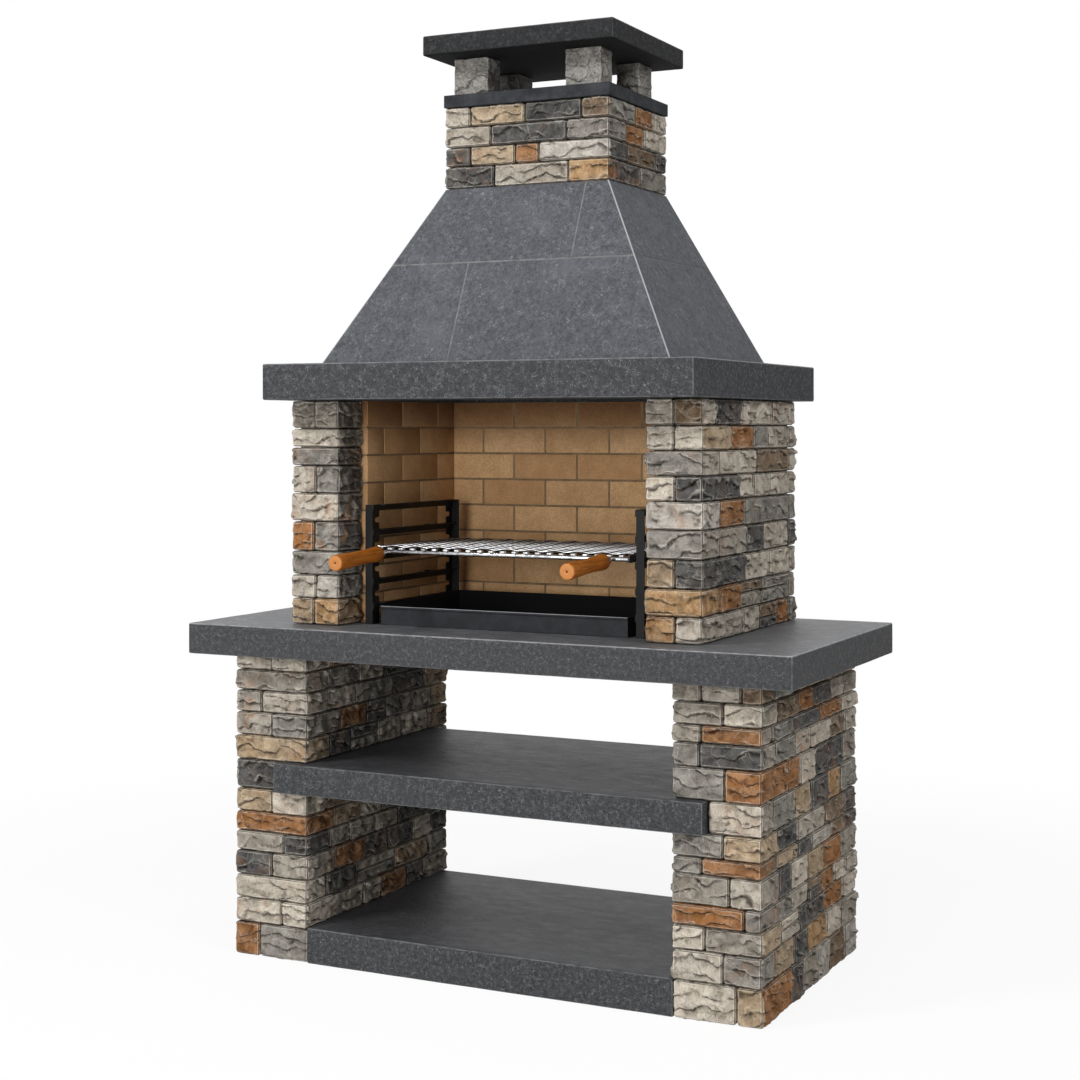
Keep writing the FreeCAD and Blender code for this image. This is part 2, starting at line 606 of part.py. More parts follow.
def notch(side, y_edge, inward, z):
    """The cutter for a spit notch: a round-ended slot with a flared mouth in a post's web."""
    half = NOTCH_HEIGHT / 2
    reach = NOTCH_DEPTH - half
    mouth = half + NOTCH_FLARE
    outer_x = side * (RACK_X + RACK_STEEL)
    place = lambda depth, height: V(outer_x, y_edge + inward * depth, z + height)
    corners = [place(reach, half), place(NOTCH_FLARE, half), place(0, mouth), place(-RACK_STEEL, mouth),
               place(-RACK_STEEL, -mouth), place(0, -mouth), place(NOTCH_FLARE, -half), place(reach, -half)]
    round_end = Part.Arc(corners[-1], place(NOTCH_DEPTH, 0), corners[0]).toShape()
    outline = Part.Wire(Part.makePolygon(corners).Edges + [round_end])
    return Part.Face(outline).extrude(V(-side * RACK_STEEL, 0, 0))


def rack_post(side, y_flange, inward, flange_x):
    """An angle-section post: a flange across the rack and a notched web along it."""
    web_face, web_back = side * RACK_X, side * (RACK_X + RACK_STEEL)
    z_span = (WORKTOP_TOP, RACK_TOP)
    web = box((web_face, web_back), sorted((y_flange, y_flange + inward * POST_WEB)), z_span)
    flange = box((web_back if flange_x > 0 else web_face, web_face + side * flange_x * POST_FLANGE),
                 sorted((y_flange, y_flange + inward * RACK_STEEL)), z_span)
    post = web.fuse(flange).removeSplitter()
    levels = [ledge_top(level) + (BAR_PITCH - BAR_LEG) / 2 for level in range(BAR_COUNT - 1)]
    return post.cut([notch(side, y_flange + inward * POST_WEB, -inward, z) for z in levels])


def rack_bars(side):
    """Angle bars whose inward legs, behind the front post, are the ledges that a grill slides on."""
    face = side * RACK_X
    rear = RACK_REAR - RACK_STEEL
    bars = []
    for level in range(BAR_COUNT):
        top = ledge_top(level)
        upright = box((face - side * RACK_STEEL, face), (RACK_FRONT, rear), (top - BAR_LEG, top))
        ledge = box((face - side * BAR_LEG, face), (RACK_FRONT + POST_WEB, rear), (top - RACK_STEEL, top))
        bars.append(upright.fuse(ledge).removeSplitter())
    return bars


def wall_pins():
    """Short pins that hold the racks' bars off the firebox lining."""
    pins = []
    for side, level in itertools.product((-1, 1), PIN_BARS):
        for y in (RACK_FRONT + PIN_INSET, RACK_REAR - PIN_INSET):
            start = V(side * RACK_X, y, ledge_top(level) - BAR_LEG / 2)
            pins.append(wire(start, X_AXIS * side, RACK_STANDOFF, PIN_DIAMETER))
    return pins


def charcoal_tray():
    """A folded sheet-steel tray, higher at the back, with a hem along its front edge."""
    half = TRAY_WIDTH / 2
    rear = TRAY_FRONT + TRAY_DEPTH
    front_top, rear_top = TRAY_FLOOR + TRAY_FRONT_WALL, TRAY_FLOOR + TRAY_REAR_WALL
    side_outline = [V(-half, TRAY_FRONT, TRAY_FLOOR), V(-half, rear, TRAY_FLOOR), V(-half, rear, rear_top),
                    V(-half, TRAY_FRONT, front_top)]
    block = Part.Face(Part.makePolygon(side_outline + side_outline[:1])).extrude(V(TRAY_WIDTH, 0, 0))
    inside = box((TRAY_STEEL - half, half - TRAY_STEEL), (TRAY_FRONT + TRAY_STEEL, rear - TRAY_STEEL),
                 (TRAY_FLOOR + TRAY_STEEL, rear_top + TRAY_STEEL))
    hem = box((-half, half), (TRAY_FRONT - TRAY_STEEL, TRAY_FRONT), (front_top - TRAY_HEM, front_top))
    return block.cut(inside).fuse(hem).removeSplitter()


def grill_rods():
    """The front and rear rods, between the side bars."""
    inner = GRILL_WIDTH / 2 - SIDE_BAR_STEEL
    rear_y = GRILL_FRONT + GRILL_DEPTH - ROD_DIAMETER / 2
    return [wire(V(-inner, y, ROD_AXIS), X_AXIS, 2 * inner, ROD_DIAMETER) for y in (FRONT_ROD_Y, rear_y)]


def grill_side_bars():
    """Flat bars on edge that slide on the racks' ledges."""
    bars = []
    for side in (-1, 1):
        x_span = (side * GRILL_WIDTH / 2, side * (GRILL_WIDTH / 2 - SIDE_BAR_STEEL))
        bars.append(box(x_span, (GRILL_FRONT, GRILL_FRONT + GRILL_DEPTH), (GRILL_FLOOR, SIDE_BAR_TOP)))
    return bars


def evenly(low, high, pitch):
    """Places between two ends at about a pitch, the same distance apart."""
    count = max(1, round((high - low) / pitch))
    return [low + (high - low) * i / count for i in range(count + 1)]


def long_wires():
    """Wires from front to back, welded on top of the two rods by their flattened ends."""
    edge = GRILL_WIDTH / 2 - SIDE_BAR_STEEL - LONG_WIRE_PITCH / 2
    start = GRILL_FRONT - WIRE_OVERHANG
    length = GRILL_DEPTH + 2 * WIRE_OVERHANG
    z_span = (LONG_WIRE_AXIS - WIRE_DIAMETER / 2, LONG_WIRE_AXIS + WIRE_DIAMETER / 2)
    wires = []
    for x in evenly(-edge, edge, LONG_WIRE_PITCH):
        x_span = (x - WIRE_FLAT_WIDTH / 2, x + WIRE_FLAT_WIDTH / 2)
        flats = [box(x_span, (y, y + WIRE_FLAT_LENGTH), z_span)
                 for y in (start, start + length - WIRE_FLAT_LENGTH)]
        straight = wire(V(x, start, LONG_WIRE_AXIS), Y_AXIS, length, WIRE_DIAMETER)
        wires.append(straight.fuse(flats).removeSplitter())
    return wires


def cross_wires():
    """Wires from side to side, on top of the long wires and the side bars."""
    front = GRILL_FRONT + ROD_DIAMETER + CROSS_WIRE_PITCH / 2
    rear = GRILL_FRONT + GRILL_DEPTH - ROD_DIAMETER - CROSS_WIRE_PITCH / 2
    return [wire(V(-GRILL_WIDTH / 2, y, CROSS_WIRE_AXIS), X_AXIS, GRILL_WIDTH, WIRE_DIAMETER)
            for y in evenly(front, rear, CROSS_WIRE_PITCH)]


def drooped(shape):
    """A handle piece turned down about the front rod."""
    shape.rotate(V(0, FRONT_ROD_Y, ROD_AXIS), X_AXIS, HANDLE_DROOP)
    return shape


def turned(profile, x, y_end):
    """A turned piece: distances from the axis against distances along it, out from the front rod."""
    rings = [ring(V(x, y_end - along, ROD_AXIS), Y_AXIS, radius, TURNED_SIDES) for along, radius in profile]
    return Part.makeLoft(rings, True, True)


def handle(x):
    """A fork, a ferrule with its tang, and a turned wooden grip, in line with each other."""
    fork_end = FRONT_ROD_Y - ROD_DIAMETER / 2 - WELD_GAP
    fork = [drooped(wire(V(x + offset, fork_end, ROD_AXIS), -Y_AXIS, FORK_LENGTH, FORK_WIRE))
            for offset in (-FORK_SPREAD / 2, FORK_SPREAD / 2)]
    ferrule_end = fork_end - FORK_LENGTH
    grip_end = ferrule_end - FERRULE_LENGTH
    ferrule = turned([(0, FERRULE_NECK / 2), (FERRULE_LENGTH, FERRULE_DIAMETER / 2)], x, ferrule_end)
    tang = turned([(0, TANG_DIAMETER / 2), (TANG_LENGTH, TANG_DIAMETER / 2)], x, grip_end)
    return fork, drooped(ferrule.fuse(tang)), drooped(grip_solid(x, grip_end))


def grip_solid(x, y_end):
    """A turned grip with a waist, a ring groove, a round shoulder and a bore for the tang."""
    shoulder, full, waist = GRIP_SHOULDER / 2, GRIP_DIAMETER / 2, GRIP_WAIST / 2
    swell = full - shoulder
    groove = GRIP_LENGTH - GROOVE_FROM_END
    groove_start = groove - GROOVE_WIDTH
    quarter = lambda radius: radius * (1 - math.sqrt(0.5))
    profile = [(0, shoulder), (quarter(swell), full - quarter(swell)), (swell, full),
               ((swell + groove_start) / 2, waist),
               (groove_start, full), (groove - GROOVE_WIDTH / 2, full - GROOVE_DEPTH), (groove, full),
               (GRIP_LENGTH - GRIP_EDGE, full),
               (GRIP_LENGTH - quarter(GRIP_EDGE), full - quarter(GRIP_EDGE)), (GRIP_LENGTH, full - GRIP_EDGE)]
    bore = turned([(along, (TANG_DIAMETER + TANG_CLEARANCE) / 2) for along in (0, TANG_LENGTH)], x, y_end)
    hole_ends = (GRIP_LENGTH - END_HOLE_DEPTH, GRIP_LENGTH)
    hole = turned([(along, END_HOLE / 2) for along in hole_ends], x, y_end)
    return turned(profile, x, y_end).cut([bore, hole])


# Lower part
nodes["base_slab"] = slab((-INNER_X, INNER_X), (PIER_FRONT, PIER_REAR - BASE_SETBACK), (0, BASE_HEIGHT))
for name, side, lower, shelf, upper in (("left", -1, LEFT_PIER_LOWER, LEFT_PIER_SHELF, LEFT_PIER_UPPER),
                                        ("right", 1, RIGHT_PIER_LOWER, RIGHT_PIER_SHELF, RIGHT_PIER_UPPER)):
    nodes[f"{name}_pier_stones"], nodes[f"{name}_pier_fill"] = pier(side, lower, shelf, upper)
shelf_end = INNER_X + SHELF_BEARING
nodes["middle_shelf"] = slab((-shelf_end, shelf_end), (PIER_FRONT - SHELF_NOSE, SHELF_REAR),
                             (SHELF_UNDERSIDE, SHELF_TOP))
nodes["worktop_slab"] = slab((-WORKTOP_WIDTH / 2, WORKTOP_WIDTH / 2), (WORKTOP_FRONT, PIER_REAR),
                             (PIER_TOP, WORKTOP_TOP))

# Firebox
for name, side, courses in (("left", -1, LEFT_JAMB), ("right", 1, RIGHT_JAMB)):
    nodes[f"{name}_jamb_stones"], nodes[f"{name}_jamb_fill"] = jamb(side, courses)
    nodes[f"{name}_lining_bricks"], nodes[f"{name}_lining_mortar"] = side_lining(side)
nodes["rear_lining_bricks"], nodes["rear_lining_mortar"] = rear_lining()
nodes["rear_wall"] = box((-LINING_BACK, LINING_BACK), (LINING_REAR, JAMB_REAR),
                         (WORKTOP_TOP, MANTEL_UNDERSIDE))

# Mantel, hood and chimney
nodes["mantel_slab"] = mantel()
nodes["hood_shell"] = hood_shell()
tiles = hood_tiles()
nodes.update(tiles)
nodes["hood_grout"] = hood_grout(tiles.values())
nodes["chimney_flue"] = flue()
nodes["chimney_stones"] = stack_stones()
nodes["chimney_collar"] = collar_segments()
nodes.update(cap_posts())
cap_front = STACK_FRONT - COLLAR_OVERHANG - CAP_NOSE
nodes["cap_slab"] = slab((-CAP_WIDTH / 2, CAP_WIDTH / 2), (cap_front, cap_front + CAP_DEPTH),
                         (POST_TOP, POST_TOP + CAP_THICKNESS))

# Racks, tray and grill
for name, side in (("left", -1), ("right", 1)):
    nodes[f"{name}_rack_front_post"] = rack_post(side, RACK_FRONT, 1, 1)
    nodes[f"{name}_rack_rear_post"] = rack_post(side, RACK_REAR, -1, -1)
    nodes[f"{name}_rack_bars"] = rack_bars(side)
nodes["rack_wall_pins"] = wall_pins()
nodes["charcoal_tray"] = charcoal_tray()
nodes["grill_front_rod"], nodes["grill_rear_rod"] = grill_rods()
nodes["grill_side_bars"] = grill_side_bars()
nodes["grill_long_wires"] = long_wires()
nodes["grill_cross_wires"] = cross_wires()
for name, side in (("left", -1), ("right", 1)):
    fork, ferrule, grip = handle(side * HANDLE_X)
    nodes[f"{name}_handle_fork"] = fork
    nodes[f"{name}_handle_ferrule"] = ferrule
    nodes[f"{name}_handle_grip"] = grip

os.makedirs("parts", exist_ok=True)
for name, shape in nodes.items():
    whole = Part.makeCompound(shape) if isinstance(shape, list) else shape
    whole.exportStep(f"parts/{name}.step")
solids = sum(len(shape) if isinstance(shape, list) else len(shape.Solids) for shape in nodes.values())
print(len(nodes), "nodes and", solids, "solids")
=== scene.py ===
# %% [markdown]
# A masonry barbecue is a pile of simple blocks, and its charm is all in the surface: split stone, worn
# granite edges, buff fire bricks and black steel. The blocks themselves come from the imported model, so this
# lesson starts by loading them and keeping their box. The finished pieces keep to that box within half a
# millimetre.

import math
import random

import bmesh
import bpy
import numpy as np
from mathutils import Matrix, Vector


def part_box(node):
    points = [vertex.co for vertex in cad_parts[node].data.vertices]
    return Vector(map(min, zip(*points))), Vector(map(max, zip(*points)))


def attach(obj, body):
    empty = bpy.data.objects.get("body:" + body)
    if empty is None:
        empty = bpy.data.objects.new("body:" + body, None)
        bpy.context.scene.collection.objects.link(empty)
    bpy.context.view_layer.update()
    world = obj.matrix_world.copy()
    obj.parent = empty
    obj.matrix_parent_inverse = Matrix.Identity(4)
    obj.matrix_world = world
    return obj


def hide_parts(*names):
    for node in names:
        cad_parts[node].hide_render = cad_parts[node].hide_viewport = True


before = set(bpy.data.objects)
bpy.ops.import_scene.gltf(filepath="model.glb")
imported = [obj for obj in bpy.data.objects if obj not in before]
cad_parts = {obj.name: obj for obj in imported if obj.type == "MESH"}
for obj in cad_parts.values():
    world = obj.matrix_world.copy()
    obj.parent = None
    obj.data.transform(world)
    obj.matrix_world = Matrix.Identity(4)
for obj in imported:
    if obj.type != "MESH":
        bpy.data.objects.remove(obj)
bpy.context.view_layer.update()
MM = 0.001

# %% [markdown]
# The camera stands to the right of the barbecue at chest height and looks level, so that upright edges stay
# upright. The object sits low in the picture because of that, and a little downward shift of the frame
# takes it in. Tilting the camera would do it too, but then the piers would lean.

# %% Camera
CAMERA_PLACE = (2.0602, -4.2339, 1.3002)
CAMERA_YAW = 26.16           # degrees, turned to the left of straight ahead
CAMERA_LENS = 63.26          # millimetres on a 36 mm sensor
CAMERA_SHIFT = -0.1039

scene = bpy.context.scene
camera = bpy.data.objects.new("camera", bpy.data.cameras.new("camera"))
camera.location = CAMERA_PLACE
camera.rotation_euler = (math.radians(90), 0, math.radians(CAMERA_YAW))
camera.data.lens = CAMERA_LENS
camera.data.shift_y = CAMERA_SHIFT
scene.collection.objects.link(camera)
scene.camera = camera
scene.view_settings.view_transform = "Standard"
print("camera looks level, turned", CAMERA_YAW, "degrees")

# %% [markdown]
# Materials and node trees are written with many small links. A short helper keeps that readable: each call
# makes one node, takes plain numbers or other sockets as inputs and gives back the socket that matters. The
# same helper serves shaders and geometry, because both use the same math and texture nodes.


# %% Node helper
def paint(red, green, blue):
    """A colour as seen on a screen, 0 to 255, in the linear form that nodes take."""
    shares = [value / 255 for value in (red, green, blue)]
    return tuple(s / 12.92 if s < 0.04045 else ((s + 0.055) / 1.055) ** 2.4 for s in shares) + (1.0,)


class Graph:
    """Adds nodes to a tree, one call for each."""

    def __init__(self, tree):
        self.tree = tree

    def node(self, kind, **settings):
        made = self.tree.nodes.new(kind)
        for name, value in settings.items():
            setattr(made, name, value)
        return made

    def plug(self, socket, value):
        if isinstance(value, bpy.types.NodeSocket):
            self.tree.links.new(value, socket)
        else:
            socket.default_value = value

    def feed(self, made, *values):
        for socket, value in zip(made.inputs, values):
            self.plug(socket, value)
        return made.outputs

    def math(self, operation, *values):
        return self.feed(self.node("ShaderNodeMath", operation=operation), *values)[0]

    def times(self, first, second):
        return self.math("MULTIPLY", first, second)

    def vector(self, operation, *values):
        return self.feed(self.node("ShaderNodeVectorMath", operation=operation), *values)[0]

    def measure(self, operation, *vectors):
        return self.feed(self.node("ShaderNodeVectorMath", operation=operation), *vectors)["Value"]

    def dot(self, first, second):
        return self.measure("DOT_PRODUCT", first, second)

    def scaled(self, vector, factor):
        made = self.node("ShaderNodeVectorMath", operation="SCALE")
        self.plug(made.inputs["Scale"], factor)
        return self.feed(made, vector)[0]

    def axes(self, vector):
        return self.feed(self.node("ShaderNodeSeparateXYZ"), vector)

    def red(self, colour):
        return self.feed(self.node("ShaderNodeSeparateColor"), colour)[0]

    def noise(self, place, scale, detail=2.0, roughness=0.5, distortion=0.0, output=0):
        made = self.node("ShaderNodeTexNoise")
        for name, value in (("Vector", place), ("Scale", scale), ("Detail", detail),
                            ("Roughness", roughness), ("Distortion", distortion)):
            self.plug(made.inputs[name], value)
        return made.outputs[output]

    def cells(self, place, scale, feature="F1", output="Distance"):
        made = self.node("ShaderNodeTexVoronoi", feature=feature)
        self.plug(made.inputs["Vector"], place)
        self.plug(made.inputs["Scale"], scale)
        return made.outputs[output]

    def remap(self, value, low, high, new_low=0.0, new_high=1.0, smooth=True):
        made = self.node("ShaderNodeMapRange", interpolation_type="SMOOTHSTEP" if smooth else "LINEAR")
        return self.feed(made, value, low, high, new_low, new_high)[0]

    def mix(self, factor, first, second, blend="MIX"):
        made = self.node("ShaderNodeMix", data_type="RGBA", blend_type=blend)
        for name, value in (("Factor_Float", factor), ("A_Color", first), ("B_Color", second)):
            self.plug(next(s for s in made.inputs if s.identifier == name), value)
        return next(s for s in made.outputs if s.identifier == "Result_Color")

    def tinted(self, colour, tint):
        return self.mix(1.0, colour, tint, "MULTIPLY")

    def attribute(self, name, output="Fac"):
        return self.node("ShaderNodeAttribute", attribute_name=name).outputs[output]

    def here(self, stretch=(1.0, 1.0, 1.0), turn=(0.0, 0.0, 0.0)):
        place = self.node("ShaderNodeTexCoord").outputs["Object"]
        made = self.node("ShaderNodeMapping")
        self.plug(made.inputs["Vector"], place)
        made.inputs["Scale"].default_value = stretch
        made.inputs["Rotation"].default_value = [math.radians(angle) for angle in turn]
        return made.outputs[0]

    def bump(self, height, depth, strength=1.0, before=None):
        made = self.node("ShaderNodeBump")
        made.inputs["Strength"].default_value = strength
        made.inputs["Distance"].default_value = depth
        self.plug(made.inputs["Height"], height)
        if before is not None:
            self.plug(made.inputs["Normal"], before)
        return made.outputs[0]


def opened(made):
    """The graph of a material, and its shader's inputs."""
    return Graph(made.node_tree), made.node_tree.nodes["Principled BSDF"].inputs


def material(name, polish=0.2, metallic=0.0):
    """A new material, with its graph and its shader's inputs."""
    made = bpy.data.materials.new(name)
    made.use_nodes = True
    graph, shader = opened(made)
    shader["Metallic"].default_value = metallic
    shader["Specular IOR Level"].default_value = polish
    return made, graph, shader


def fed(socket):
    """The socket that a shader's input is linked to."""
    return socket.links[0].from_socket


print("node helper ready")

# %% [markdown]
# The barbecue stands on a pale studio floor that runs on into a white background. The world and the far
# floor show plain white to the camera, and to rays that metal reflects, while their light on the object
# stays gentle. Near the object the floor is an ordinary matte surface, so that it still takes a soft
# shadow.

# %% Floor and world
FLOOR_HALF = 30.0            # metres
FLOOR_COLOUR = paint(236, 236, 235)
SKY_LIGHT = 0.30             # strength of the world's light on the object
SHADOW_REACH = (1.2, 3.2)    # the floor's shadow fades out between these distances, metres
NEAR_WHITE = 0.9             # share of plain white in the floor that is nearer


def shown_white(graph):
    """One for rays from the camera, or that a shiny or clear surface sends on, and nought for others."""
    path = graph.node("ShaderNodeLightPath").outputs
    shiny = graph.math("MAXIMUM", path["Is Glossy Ray"], path["Is Transmission Ray"])
    return graph.math("MAXIMUM", path["Is Camera Ray"], shiny)


def studio_world():
    world = bpy.data.worlds.new("studio")
    world.use_nodes = True
    graph = Graph(world.node_tree)
    strength = graph.remap(shown_white(graph), 0, 1, SKY_LIGHT, 1.0, smooth=False)
    background = world.node_tree.nodes["Background"]
    background.inputs["Color"].default_value = (1, 1, 1, 1)
    graph.plug(background.inputs["Strength"], strength)
    return world


def studio_floor():
    made, graph, shader = material("studio_floor", 0.0)
    nodes = made.node_tree.nodes
    shader["Base Color"].default_value = FLOOR_COLOUR
    shader["Roughness"].default_value = 1.0
    faded = graph.remap(graph.measure("LENGTH", graph.here()), *SHADOW_REACH, NEAR_WHITE, 1.0)
    matte, white = nodes["Principled BSDF"].outputs[0], graph.node("ShaderNodeEmission").outputs[0]
    share = graph.times(faded, shown_white(graph))
    blend = graph.feed(graph.node("ShaderNodeMixShader"), share, matte, white)
    graph.plug(nodes["Material Output"].inputs["Surface"], blend[0])
    return made


scene.world = studio_world()
floor_corners = [(x * FLOOR_HALF, y * FLOOR_HALF, 0) for x, y in ((-1, -1), (1, -1), (1, 1), (-1, 1))]
floor_mesh = bpy.data.meshes.new("floor")
floor_mesh.from_pydata(floor_corners, [], [(0, 1, 2, 3)])
floor = bpy.data.objects.new("floor", floor_mesh)
floor.data.materials.append(studio_floor())
scene.collection.objects.link(floor)
print("floor", 2 * FLOOR_HALF, "metres wide")

# %% [markdown]
# Four large soft lamps do the rest. The strongest hangs in front, high and to the left, because the photo's
# front faces are the bright ones and the inner sides that look to the right lie in shade. One lower in
# front reaches into the firebox, a weaker one fills the right side, and one above brings out the slabs'
# tops.

# %% Lamps
AIM = Vector((0, 0, 1.1))
LAMPS = {
    "key_lamp": {"place": (-2.4, -3.9, 4.5), "size": 1.2, "power": 188.0},
    "front_lamp": {"place": (0.6, -6.4, 1.7), "size": 2.2, "power": 165.0},
    "right_lamp": {"place": (4.3, -1.9, 4.1), "size": 1.5, "power": 100.0},
    "top_lamp": {"place": (0.2, -1.2, 5.6), "size": 2.0, "power": 40.0},
}
for name, settings in LAMPS.items():
    lamp = bpy.data.lights.new(name, "AREA")
    lamp.size = settings["size"]
    lamp.energy = settings["power"]
    holder = bpy.data.objects.new(name, lamp)
    holder.location = settings["place"]
    holder.rotation_euler = (AIM - holder.location).to_track_quat("-Z", "Y").to_euler()
    scene.collection.objects.link(holder)
print(len(LAMPS), "lamps")

# %% [markdown]
# Every laid stone is one closed block in the model, and a node holds all the blocks of a pier. Their
# triangles come one block after another, so walking along them and closing a block whenever all its edges
# have met gives the blocks back. Splitting by touching points wouldn't do, because neighbours share their
# corners.

# %% Blocks of a node
GRID = 1e5                   # coordinates are compared to a hundredth of a millimetre


def blocks(node):
    """Corner points of each closed block of a node."""
    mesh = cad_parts[node].data
    keys = [tuple(round(c * GRID) for c in vertex.co) for vertex in mesh.vertices]
    found = []
    waiting = set()
    corners = set()
    for polygon in mesh.polygons:
        ring = [keys[i] for i in polygon.vertices]
        corners.update(ring)
        for start, end in zip(ring, ring[1:] + ring[:1]):
            if (end, start) in waiting:
                waiting.remove((end, start))
            else:
                waiting.add((start, end))
        if not waiting:
            found.append(np.array(sorted(corners)) / GRID)
            corners = set()
    return found


STONE_NODES = ("left_pier_stones", "right_pier_stones", "left_jamb_stones", "right_jamb_stones",
               "chimney_stones")
stone_blocks = {node: blocks(node) for node in STONE_NODES}
for node, found in stone_blocks.items():
    print(node, len(found), "stones")

# %% [markdown]
# A real stone has soft edges and is worn round at the corners. One way is a cube with a bevel, but the
# bevel would stay too coarse for a rough face later. Here the block is laid out as a grid instead: fine on
# the faces that show, and one large polygon on the hidden ones. Points near an edge are pulled onto a
# rounded corner. Three numbers are kept for each point: how far it is from the nearest edge, whether its
# face shows, and whether it lies on the block's top or underside.


# %% Rounded block
EDGE_STEP = 0.35             # a grid line this share of the edge radius in from each edge
RIM = 2                      # grid lines from an edge to the flat of a face
COARSE = 10.0                # a cell that is larger than any block, for sides that stay whole
ON_FACE = 0.99               # a point belongs to a face that is nearer than this share of the radius
HAIR = 1e-6                  # slack between places that should be the same


def grid_lines(length, radius, cell, extra=()):
    """Grid places along one side of a block, closer together at the rounded ends."""
    count = max(1, round((length - 2 * radius) / cell))
    inner = {radius + (length - 2 * radius) * i / count for i in range(count + 1)}
    inner |= set(extra)
    return [0.0, EDGE_STEP * radius] + sorted(inner) + [length - EDGE_STEP * radius, length]


def within(place, span):
    """Whether a place lies in a span, ends included."""
    return span[0] - HAIR <= place <= span[1] + HAIR


def hole_walls(lines, gaps, point):
    """Upright faces round a hole, looking into it."""
    xs, ys = ([i for i, place in enumerate(lines[axis]) if within(place, gaps[axis])] for axis in (0, 1))
    ring = [(x, ys[0]) for x in xs] + [(xs[-1], y) for y in ys[1:]]
    ring += [(x, ys[-1]) for x in xs[-2::-1]] + [(xs[0], y) for y in ys[-2:0:-1]]
    return [[point(2, 0, *b), point(2, 0, *a), point(2, 1, *a), point(2, 1, *b)]
            for a, b in zip(ring, ring[1:] + ring[:1])]


def rounded_block(low, high, shown, radius, cell=COARSE, hole=None):
    """Points, faces and the points' numbers of a block with soft edges.

    shown holds pairs of an axis and an end, 0 for low and 1 for high. hole is a span along X and one along Y
    that goes right through from top to bottom.
    """
    low, high = np.array(low), np.array(high)
    size = high - low
    gaps = [[edge - low[axis] for edge in hole[axis]] for axis in (0, 1)] if hole else None
    lines = []
    for axis in range(3):
        fine = any(other != axis for other, _ in shown)
        extra = gaps[axis] if hole and axis < 2 else ()
        lines.append(grid_lines(size[axis], radius, cell if fine else COARSE, extra))
    counts = [len(row) for row in lines]
    index = {}
    faces = []

    def point(axis, end, along, across):
        key = [0, 0, 0]
        key[axis] = end * (counts[axis] - 1)
        key[(axis + 1) % 3] = along
        key[(axis + 2) % 3] = across
        return index.setdefault(tuple(key), len(index))

    def inside_hole(along, across):
        return all(within(lines[axis][i], gaps[axis]) and within(lines[axis][i + 1], gaps[axis])
                   for axis, i in ((0, along), (1, across)))

    for axis in range(3):
        first, second = (axis + 1) % 3, (axis + 2) % 3
        last, far = counts[first] - 1 - RIM, counts[second] - 1 - RIM
        for end in (0, 1):
            hidden = (axis, end) not in shown
            for along in range(counts[first] - 1):
                for across in range(counts[second] - 1):
                    middle = RIM <= along < last and RIM <= across < far
                    if (hidden and middle) or (hole and axis == 2 and inside_hole(along, across)):
                        continue
                    ring = [point(axis, end, along, across), point(axis, end, along + 1, across),
                            point(axis, end, along + 1, across + 1), point(axis, end, along, across + 1)]
                    faces.append(ring if end else ring[::-1])
            if hidden:
                ring = [(a, RIM) for a in range(RIM, last)] + [(last, c) for c in range(RIM, far)]
                ring += [(a, far) for a in range(last, RIM, -1)] + [(RIM, c) for c in range(far, RIM, -1)]
                ring = [point(axis, end, a, c) for a, c in ring]
                faces.append(ring if end else ring[::-1])
    if hole:
        faces += hole_walls(lines, gaps, point)
    places = np.array([[lines[axis][key[axis]] for axis in range(3)] for key in index])
    planes = np.concatenate([places, size - places], axis=1)
    open_planes = [planes[:, axis + 3 * end] for axis, end in shown]
    mask = np.min(open_planes, axis=0) < ON_FACE * radius if open_planes else np.zeros(len(places))
    held = np.clip(places, radius, size - radius)
    push = places - held
    reach = np.linalg.norm(push, axis=1, keepdims=True)
    rounded = held + push * np.where(reach > 0, radius / np.maximum(reach, HAIR), 0)
    level = np.minimum(planes[:, 2], planes[:, 5]) < 0.5 * radius
    return {"points": rounded + low, "faces": faces, "edge": np.sort(planes, axis=1)[:, 1],
            "shown": mask.astype(float), "level": level.astype(float)}


sample = rounded_block((0, 0, 0), (0.1, 0.08, 0.06), [(1, 0)], 0.006, 0.006)
print("a stone of 100 x 80 x 60 mm has", len(sample["faces"]), "faces")

# %% [markdown]
# Several blocks go into one mesh, each with its own colour and its own starting place in the rock pattern,
# kept as attributes on the points. Attributes follow the surface wherever it goes, so the finish needs no
# flat map.


# %% Mesh of many blocks
POINT_LAYERS = (("edge", "FLOAT", "value", 1), ("shown", "FLOAT", "value", 1), ("level", "FLOAT", "value", 1),
                ("stain", "FLOAT", "value", 1), ("seed", "FLOAT_VECTOR", "vector", 3),
                ("tint", "FLOAT_COLOR", "color", 4))
PLAIN = {"tint": [1.0, 1.0, 1.0, 1.0], "stain": [0.0], "seed": [0.0, 0.0, 0.0]}


def mesh_of(name, parts):
    """A mesh of rounded blocks. Each part also has a tint, a stain and a seed for its pattern."""
    points = np.concatenate([part["points"] for part in parts])
    faces = []
    start = 0
    for part in parts:
        faces += [[start + i for i in ring] for ring in part["faces"]]
        start += len(part["points"])
    mesh = bpy.data.meshes.new(name)
    mesh.from_pydata(points.tolist(), [], faces)
    for key, kind, field, width in POINT_LAYERS:
        rows = [np.broadcast_to(np.reshape(part[key], (-1, width)), (len(part["points"]), width))
                for part in parts]
        layer = mesh.attributes.new(key, kind, "POINT")
        layer.data.foreach_set(field, np.concatenate(rows).astype(np.float32).ravel())
    mesh.shade_smooth()
    mesh.update()
    return mesh


def add_piece(name, mesh, body, slot, *nodes):
    """Puts a finished mesh in the scene, on its body, in place of the nodes that it stands for."""
    piece = bpy.data.objects.new(name, mesh)
    scene.collection.objects.link(piece)
    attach(piece, body)
    if nodes:
        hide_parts(*nodes)


print(len(POINT_LAYERS), "numbers or colours are kept for each point")

